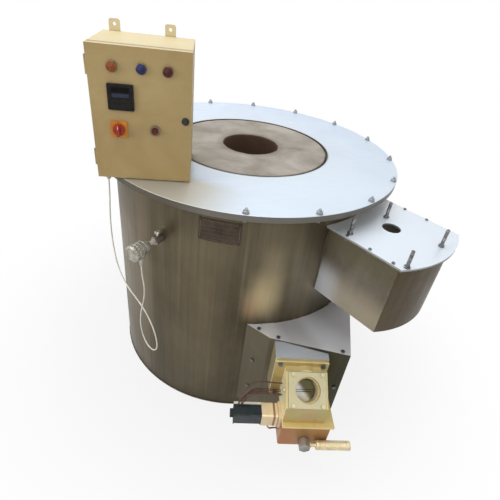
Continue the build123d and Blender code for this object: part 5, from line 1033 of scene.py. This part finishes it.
def buildCoupleHead():
    head = {"radius": 27, "lidRadius": 29.5, "lobes": 18, "lobeDepth": 1.8, "gland": 98, "screwReach": 138.6,
            "screwCircle": 17.1}
    seat = seatFrame(couplePoint(0), coupleTangent, coupleOut)
    r, w = head["radius"], head["lidRadius"]
    bm = bmesh.new()
    lathe(bm, [(0, 70), (11, 70), (19, 70.4), (r - 3.5, 72.6), (r - 0.8, 76), (r, 80), (r, 90), (r - 1.1, 91),
               (r - 1.1, 93.5), (r, 94.5), (r, 106), (r - 3.4, 107.5), (r - 3.4, 113), (r + 0.6, 114.5),
               (r + 0.6, 118), (0, 118)], seat, 72)
    lathe(bm, [(0, 60), (12, 60), (12, 66), (14, 68), (14, 72), (0, 72)], seat, 36)  # neck on the sheath
    neck = seatFrame(couplePoint(head["gland"]), coupleTangent, -up)
    lathe(bm, [(11.5, 20), (12, 27), (12, 33), (11, 34), (0, 34)], neck, 36)
    makePiece("coupleHead", bm, "couple_alloy", replaces="couple_head", edge=0.5)
    bm = bmesh.new()
    lid = [(0, 118.2), (w - 1, 118.2), (w, 119.2), (w, 122), (w, 126), (w, 130), (w, 132), (w - 1.4, 135.5),
           (w - 4.6, 138.4), (w - 8, 139.3), (20, 139.2), (18.8, 138), (15.4, 138), (14.2, 139.4), (8, 140),
           (0, 140)]
    lobedLathe(bm, lid, seat, head["lobes"], head["lobeDepth"], 119.5, 134, 144)
    for angle in (35, 215):
        spot = onCircle(head["screwCircle"], angle)
        place = couplePoint(head["screwReach"]) + coupleTangent * spot.x + up * spot.y
        crossScrew(bm, seatFrame(place, coupleTangent, coupleOut), 2.8, 1.4)
    makePiece("coupleLid", bm, "couple_alloy", replaces="couple_lid", sharp=40)


buildCoupleHead()


# Cabinet door: lamps, lock, controller, switch and button
def buildLamps():
    lamp = {"amber": (67, 332), "blue": (146, 332), "red": (218, 331), "flutes": 30, "fluteDepth": 0.45}
    lens = [(0, 3), (10.6, 3), (10.8, 7.1), (13.2, 7.1), (13.6, 7.5), (13.6, 8.4), (13.3, 9.2), (12.6, 9.8),
            (11.9, 9.5), (10.9, 10.4), (10.1, 10.7), (9.4, 10.3), (8.3, 11.4), (7.5, 11.7), (6.9, 11.3),
            (5.7, 12.4), (4.9, 12.7), (4.2, 12.2), (3.0, 13.2), (1.6, 13.7), (0, 13.9)]
    barrel = [(0, -40), (9, -40), (10.4, -38.6), (10.4, -24), (9, -23), (9, -21), (10.6, -20), (10.6, -6),
              (8, -5), (8, 4)]
    for colour in ("amber", "blue", "red"):
        across, height = lamp[colour]
        seat = faceSeat(across, height)
        bm = bmesh.new()
        lobedLathe(bm, lens, seat, lamp["flutes"], lamp["fluteDepth"], 7.3, 9.0, 120)
        lathe(bm, barrel, seat, 36)
        makePiece(colour + "Lens", bm, "lamp_" + colour, "door", colour + "_lamp", sharp=24)
        # clamp block and its terminal screws behind the door
        bm = bmesh.new()
        block(bm, (0, 0, -30), (24, 30, 14), seat, 2)
        for side in (-7, 7):
            behind = faceSeat(across + side, height + 11.5, 37.2) @ Matrix.Rotation(math.pi, 4, "Y")
            crossScrew(bm, behind, 2.6, 1.6)
        makePiece(colour + "Block", bm, "controller_black", "door", edge=0.5)


def buildLockRose():
    rose = {"place": (268, 197), "radius": 11.5, "bore": 6.4}
    bm = bmesh.new()
    r, bore = rose["radius"], rose["bore"]
    lathe(bm, [(bore, 0.05), (r, 0.05), (r, 1.6), (r - 1.4, 2.6), (r - 3, 2.8), (bore + 1, 2.8), (bore, 3.4),
               (bore, 0.05)], faceSeat(*rose["place"]), 48)
    makePiece("lockRose", bm, "lock_black", "door", sharp=35)


def buildController():
    face = {"place": (86, 252), "front": (71.4, 65), "window": ((59, 39), (54.6, 34.6)), "windowUp": 12,
            "pitch": 14, "first": -21}
    seat = faceSeat(*face["place"])
    middle = (0, face["windowUp"])
    bm = bmesh.new()
    # raised surround of the front, window surround and keys
    outer, inner = face["front"]
    frames = ((roundedOutline(outer, outer, 5), roundedOutline(inner, inner, 3), 8.2),
              (roundedOutline(*face["window"][0], 3, 4, middle),
               roundedOutline(*face["window"][1], 2, 4, middle), 7.9))
    for ring, hole, high in frames:
        drawnIn = [(a * 0.992, b * 0.992) for a, b in ring]
        layers = ((ring, 5.4), (ring, high - 0.5), (drawnIn, high), (hole, high), (hole, 5.4))
        joinRings(bm, [[bm.verts.new(seat @ Vector((px, py, z))) for px, py in path] for path, z in layers])
    for k in range(4):
        across = face["first"] + face["pitch"] * k
        slab(bm, roundedOutline(10.5, 7, 2.2, 4, (across, -20)), 6, 8.6, seat)
    makePiece("controllerFrame", bm, "controller_black", "door", sharp=30)
    bm = bmesh.new()
    slab(bm, roundedOutline(54.4, 34.4, 1.5, 3, middle), 5.2, 6.9, seat)
    makePiece("controllerPane", bm, "window_dark", "door", "controller_window", edge=0.3)
    # two display strips and a row of small indicators under the pane's surface
    bm = bmesh.new()
    slab(bm, roundedOutline(47, 12, 1, 3, (0, 20.4)), 6.8, 7.15, seat)
    makePiece("controllerDisplay", bm, "window_dark", "door", sharp=30, material=finishes["display_black"])
    bm = bmesh.new()
    slab(bm, roundedOutline(47, 11, 1, 3, (0, 5)), 6.8, 7.1, seat)
    for k in range(4):
        spot = Matrix.Translation(Vector((face["first"] + face["pitch"] * k, -12.4, -0.6)))
        lathe(bm, [(1.3, 8.5), (1.0, 8.95), (0, 9.1)], seat @ spot, 14)
    displayBlue = finish("displayBlue", (50, 54, 76), (28, 30, 44), 60, (0.3, 0.4), contrast=1.0,
                         specular=0.3)
    makePiece("controllerStrip", bm, "window_dark", "door", sharp=30, material=displayBlue)


def buildSwitch():
    knob = {"place": (75, 160), "radius": 17, "low": 4.8, "skirt": 14.6, "gripTop": 26.8, "gripLength": 33,
            "gripWidth": 10.6, "ribs": 28, "ribDepth": 0.5, "waist": 0.2, "markSize": 6.2, "markDepth": 0.12}
    seat = faceSeat(*knob["place"])
    bm = bmesh.new()
    r, low, top, gripTop = (knob[k] for k in ("radius", "low", "skirt", "gripTop"))
    skirt = [(0, low), (r, low), (r, low + 2), (r, low + 5), (r - 0.3, top - 1.6), (r - 1.8, top),
             (9, top + 0.3), (0, top + 0.3)]
    lobedLathe(bm, skirt, seat, knob["ribs"], knob["ribDepth"], low + 1, top - 1, 168)
    outline = [(px * (1 - knob["waist"] * math.exp(-((py / 8) ** 2))), py)
               for px, py in roundedOutline(knob["gripWidth"], knob["gripLength"], 5.2, 7)]
    layers = ((1.0, top), (1.0, gripTop - 2.2), (0.94, gripTop - 0.7), (0.82, gripTop))
    rings = [[bm.verts.new(seat @ Vector((px * share, py * (0.4 + 0.6 * share), z))) for px, py in outline]
             for share, z in layers]
    joinRings(bm, rings)
    bm.faces.new(rings[-1])
    lathe(bm, [(4, -17), (4, 5), (0, 5)], seat, 20)
    makePiece("switchKnob", bm, "switch_red", "switch", "switch_knob", sharp=34)
    bm = bmesh.new()
    slab(bm, roundedOutline(1.8, 9, 0.8, 3, (0, 10.5)), gripTop - 0.6, gripTop + 0.15, seat)
    makePiece("switchPointer", bm, "switch_red", "switch", sharp=30, material=finishes["lead_white"])
    # the plain 0 and I of its two positions
    for name, letter, place in (("switchOffMark", "0", (-2.4, 18.2, 3.1)),
                                ("switchOnMark", "I", (18.4, -3.0, 3.1))):
        text = bpy.data.curves.new(name, "FONT")
        text.body = letter
        text.size = knob["markSize"]
        text.extrude = text.offset = knob["markDepth"]
        text.materials.append(finishes["lock_black"])
        mark = addObject(name, text)
        mark.matrix_world = seat @ Matrix.Translation(Vector(place))
        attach(mark, "door")


def buildButton():
    cap = {"place": (179, 163), "radius": 9.5, "low": 4.35, "top": 11.3}
    bm = bmesh.new()
    r, low, top = cap["radius"], cap["low"], cap["top"]
    lathe(bm, [(4, -19.5), (4, low), (r - 0.5, low), (r, low + 0.5), (r, top - 1.2), (r - 0.5, top - 0.3),
               (r - 1.4, top), (r - 2.6, top - 0.3), (r - 4.5, top - 0.9), (2.5, top - 1.25), (0, top - 1.3)],
          faceSeat(*cap["place"]), 40)
    makePiece("buttonCap", bm, "button_red", "button", "button_cap", sharp=40)


buildLamps()
buildLockRose()
buildController()
buildSwitch()
buildButton()
print("cabinet door fitted")


# Nameplate: a raised border and blank ruled lines, with nothing written on them
def buildPlateLines():
    plate = {"angle": -116.5, "width": 141, "low": 860, "high": 942, "surface": 542.6, "sunk": 0.4,
             "inset": 5, "rows": 5, "border": 1.4, "line": 1.0, "cells": 16}
    half = math.degrees(plate["width"] / 2 / drumRadius)

    def strip(fromAngle, toAngle, low, high, proud=0.7):
        within, out = plate["surface"] - plate["sunk"], plate["surface"] + proud
        columns = []
        for i in range(plate["cells"] + 1):
            angle = plate["angle"] + fromAngle + (toAngle - fromAngle) * i / plate["cells"]
            columns.append([bm.verts.new(onCircle(radius, angle, z) * mm) for radius, z in (
                (within, low), (out, low + 0.2), (out, high - 0.2), (within, high))])
        for left, right in zip(columns, columns[1:]):
            for k in range(3):
                bm.faces.new((left[k], right[k], right[k + 1], left[k + 1]))
        bm.faces.new(columns[0])
        bm.faces.new(columns[-1][::-1])
    bm = bmesh.new()
    edge = half * (1 - plate["inset"] / 70)
    low, high = plate["low"] + plate["inset"], plate["high"] - plate["inset"]
    for z in (low, high - plate["border"]):
        strip(-edge, edge, z, z + plate["border"])
    for side in (-1, 1):
        strip(*sorted((side * edge, side * (edge - 0.16))), low, high)
    for row in range(plate["rows"]):
        z = low + 8 + row * (high - low - 14) / (plate["rows"] - 1)
        strip(-edge * 0.86, -edge * 0.2, z, z + plate["line"], 0.45)
        strip(-edge * 0.1, edge * 0.86, z, z + plate["line"], 0.45)
    lineFinish = finish("platePaintLines", (132, 108, 84), (96, 76, 58), 40, (0.4, 0.55), 0.4,
                        grime=(0.4, 0.004))
    makePiece("nameplateLines", bm, "plate_brown", sharp=30, material=lineFinish)


buildPlateLines()


# Cock: the lever's turned grip and the screw that holds the hub
def buildCock():
    cock = {"across": 252, "height": 214, "hubOut": 858, "gripOut": 841, "gripStart": 294, "gripEnd": 422,
            "radius": 17}
    r, end = cock["radius"], cock["gripEnd"] - cock["gripStart"]
    grip = [(0, 0), (r - 3, 0), (r - 0.8, 1.4), (r, 4), (r, 12), (r - 1, 13), (r - 1, 15), (r, 16), (r, 19),
            (r - 1, 20), (r - 1, 22), (r, 23), (r, 60), (r - 0.3, 90), (r, end - 20), (r - 1, end - 19),
            (r - 1, end - 17), (r, end - 16), (r, end - 3), (r - 1, end - 0.8), (r - 3, end), (r - 7, end),
            (r - 8, end - 1.2), (r - 8.6, end - 2.6), (0, end - 3)]
    arm = [(0, 14), (7, 14), (7, 17), (9.4, 18), (9.4, 24), (7, 25.4), (6.8, 32), (7, 40), (8.6, 42.5),
           (0, 43)]
    bm = bmesh.new()
    for profile, across, segments in ((grip, cock["gripStart"], 60), (arm, cock["across"], 40)):
        place = burnerPoint(across, cock["gripOut"], cock["height"])
        lathe(bm, profile, seatFrame(place, burnerOut, burnerSide), segments)
    makePiece("cockLever", bm, "lever_zinc", "cock", "cock_lever", sharp=28)
    bm = bmesh.new()
    face = seatFrame(burnerPoint(cock["across"], cock["hubOut"], cock["height"]), burnerSide, burnerOut)
    lathe(bm, [(0, -2), (9, -2), (9, -0.6), (8.4, -0.1), (6.2, -0.1), (0, -0.1)], face, 32)
    makePiece("cockScrew", bm, "fastener", "cock", sharp=30)


# Weld up the port housing's sides and along its top, where it meets the drum
def buildPortWelds():
    port = {"corner": (-56, -612, 0), "along": -28, "width": 296, "low": 58, "high": 507, "wall": 542.5,
            "miss": 544.5, "deepest": 260}
    side, inward = onCircle(1, port["along"]), onCircle(1, port["along"] + 90)
    feet = []
    for i in range(31):
        # from the housing's front edge back until the drum's wall is met
        place = Vector(port["corner"]) + side * port["width"] * i / 30
        step = 0
        while (place + inward * step).xy.length > port["wall"] and step < port["deepest"]:
            step += 1
        feet.append(place + inward * step)
    bm = bmesh.new()
    for foot, seed in ((feet[0], 2), (feet[-1], 7)):
        if foot.xy.length < port["miss"]:
            weldBead(bm, [foot + up * z for z in range(port["low"], port["high"], 28)], 2.8, seed=seed)
    weldBead(bm, [foot + up * (port["high"] - 1) for foot in feet if foot.xy.length < port["miss"]], 2.6,
             seed=11)
    makePiece("portWelds", bm, "sheet_steel", sharp=60)


# More cores beside the coil's two, tucked in between the housing and the valve
def buildValveCores():
    bm = bmesh.new()
    for k in range(4):
        lift, out = 6 * k, 3.5 * k
        places = ((16 + 5 * k, 752 - out, 317), (14 + 6 * k, 742 - out, 330 + lift * 0.4),
                  (34 + 6 * k, 728 - out, 340 + lift * 0.7), (78, 720 - out, 340 + lift * 0.6),
                  (122, 716 - out, 330 + lift * 0.8), (160.5, 717 - out, 324 + lift))
        addCore(bm, [burnerPoint(*place) for place in places], 1.7, 8)
    makePiece("valveCores", bm, "wire_black", sharp=60)


buildCock()
buildPortWelds()
buildValveCores()
print("cock and port details made")


# Inside the cabinet: breakers, contactors, relays and terminals on the two rails, and their fixed wiring
def buildDevices():
    inside = {"railFront": 230.5, "high": 268, "low": 120, "breakers": (60, 78.5, 97),
              "contactors": (150, 206), "relays": (206, 237), "firstTerminal": 62, "terminals": 12}
    high, low = inside["high"], inside["low"]
    grey, dark, screws, strip = (bmesh.new() for _ in range(4))

    def at(across, height):
        return faceSeat(across, height, inside["railFront"])

    def screw(across, height, wide, narrow, foot, rise, top, segments):
        lathe(screws, [(0, foot), (wide, foot), (wide, rise), (narrow, top), (0, top)],
              at(across, height), segments)
    for across in inside["breakers"]:
        seat = at(across, high)
        block(grey, (0, 0, 31), (17.4, 80, 62), seat, 0.8)
        block(grey, (0, 0, 33), (16.6, 44, 66), seat, 0.8)
        block(dark, (0, 2, 66.6), (9, 15, 1.6), seat, 0.4)
        block(dark, (0, 6, 67.5), (6.4, 6, 4.6), seat, 0.6)
        for lift in (-32, 32):
            screw(across, high + lift, 3.4, 2.6, 61.4, 62.2, 62.6, 16)
    for across in inside["contactors"]:
        seat = at(across, high)
        block(grey, (0, 0, 39), (44.4, 75, 78), seat, 1.2)
        block(grey, (0, 0, 42), (29.6, 40, 84), seat, 1.0)
        block(dark, (0, 8, 84.2), (22, 12, 1.4), seat, 0.5)
        block(dark, (0, -9, 84.4), (9, 9, 2.4), seat, 0.6)
        for lift in (-31, 31):
            block(dark, (0, lift, 77.8), (41, 9.4, 1.0), seat, 0.4)
            for shift in (-15.6, -5.2, 5.2, 15.6):
                screw(across + shift, high + lift, 3.6, 2.8, 77.8, 78.7, 79.1, 16)
    for across in inside["relays"]:
        seat = at(across, low)
        block(grey, (0, 0, 20), (27.4, 68, 40), seat, 1.0)
        block(dark, (0, 0, 47), (21.6, 29.6, 21), seat, 1.4)
        for lift in (-27, -19, 19, 27):
            for shift in (-7, 7):
                screw(across + shift, low + lift, 2.7, 2.1, 39.4, 40.2, 40.6, 14)
    for k in range(inside["terminals"]):
        across = inside["firstTerminal"] + 10 * k
        seat = at(across, low)
        block(strip, (0, 0, 16.6), (8.4, 45, 33.2), seat, 0.5)
        block(strip, (0, 0, 36), (6, 26, 8), seat, 0.5)
        for lift in (-17, 17):
            screw(across, low + lift, 2.5, 1.9, 33, 33.7, 34, 14)
            block(dark, (0, lift - math.copysign(4.4, lift), 33.2), (4.4, 2.2, 0.7), seat, 0.2)
    makePiece("railDevices", grey, "device_grey", replaces="switchgear", sharp=30)
    makePiece("railTerminals", strip, "terminal_beige", replaces="terminal_strip", sharp=30)
    makePiece("railDarkParts", dark, "lock_black", sharp=30)
    makePiece("railScrews", screws, "fastener", sharp=30)


def buildWiring():
    wiring = {"radius": 1.25, "front": 230.5, "poles": (-15.6, -5.2, 5.2, 15.6), "deviceEdge": 236}

    def spot(across, height, depth):
        return cabinetPoint(across, wiring["front"] - depth, height)
    random.seed(11)
    bm = bmesh.new()
    # from the terminals up to the breakers and contactors, laid in a loose trunk
    ends = [60, 78.5, 97] + [middle + s for middle in (150, 206) for s in wiring["poles"]]
    for k, across in enumerate(ends):
        start = 62 + 10 * k
        height, depth = wiring["deviceEdge"], 62 if k < 3 else 78
        lane = 178 + random.uniform(-7, 7)
        addCore(bm, [spot(start, 141, 30), spot(start, 150, 34),
                     spot(start * 0.6 + across * 0.4, lane, 40 + random.uniform(-6, 6)),
                     spot(across, lane + 26, 52), spot(across, height - 8, depth - 6),
                     spot(across, height + 1, depth - 1)], wiring["radius"])
    # along the bottom, out to the gland hole and up to the relays
    for k in range(8):
        start = 67 + 10 * k if k < 4 else 199 + 14 * (k - 4)
        lane = 66 + random.uniform(-6, 6)
        bottom = 98 if k < 4 else 87
        addCore(bm, [spot(start, bottom + 1, 26), spot(start, bottom - 8, 34), spot(start - 8, lane + 4, 30),
                     spot(40, lane, 34 + random.uniform(-5, 5)), spot(24 + k, 52, 60),
                     spot(20 + k * 0.5, 12, 150 + 4 * k)], wiring["radius"])
    makePiece("cabinetWiring", bm, "wire_black", sharp=60)
    bm = bmesh.new()
    # behind the door, from the lamps down to the controller, the switch and the button
    for first, second in (((67, 36, 322), (92, 60, 289)), ((146, 36, 322), (112, 62, 288)),
                          ((218, 36, 321), (120, 64, 280)), ((179, 26, 172), (122, 62, 236)),
                          ((75, 48, 185), (84, 64, 216)), ((182, 24, 172), (99, 46, 160))):
        a, b = cabinetPoint(*first), cabinetPoint(*second)
        middle = a.lerp(b, 0.5) + cabinetBack * 10 - up * 12
        addCore(bm, [a, a.lerp(middle, 0.45) + cabinetBack * 3, middle,
                     middle.lerp(b, 0.6) + cabinetBack * 2, b], wiring["radius"])
    makePiece("doorWiring", bm, "wire_black", "door", sharp=60)


buildDevices()
buildWiring()
print("cabinet inside made")
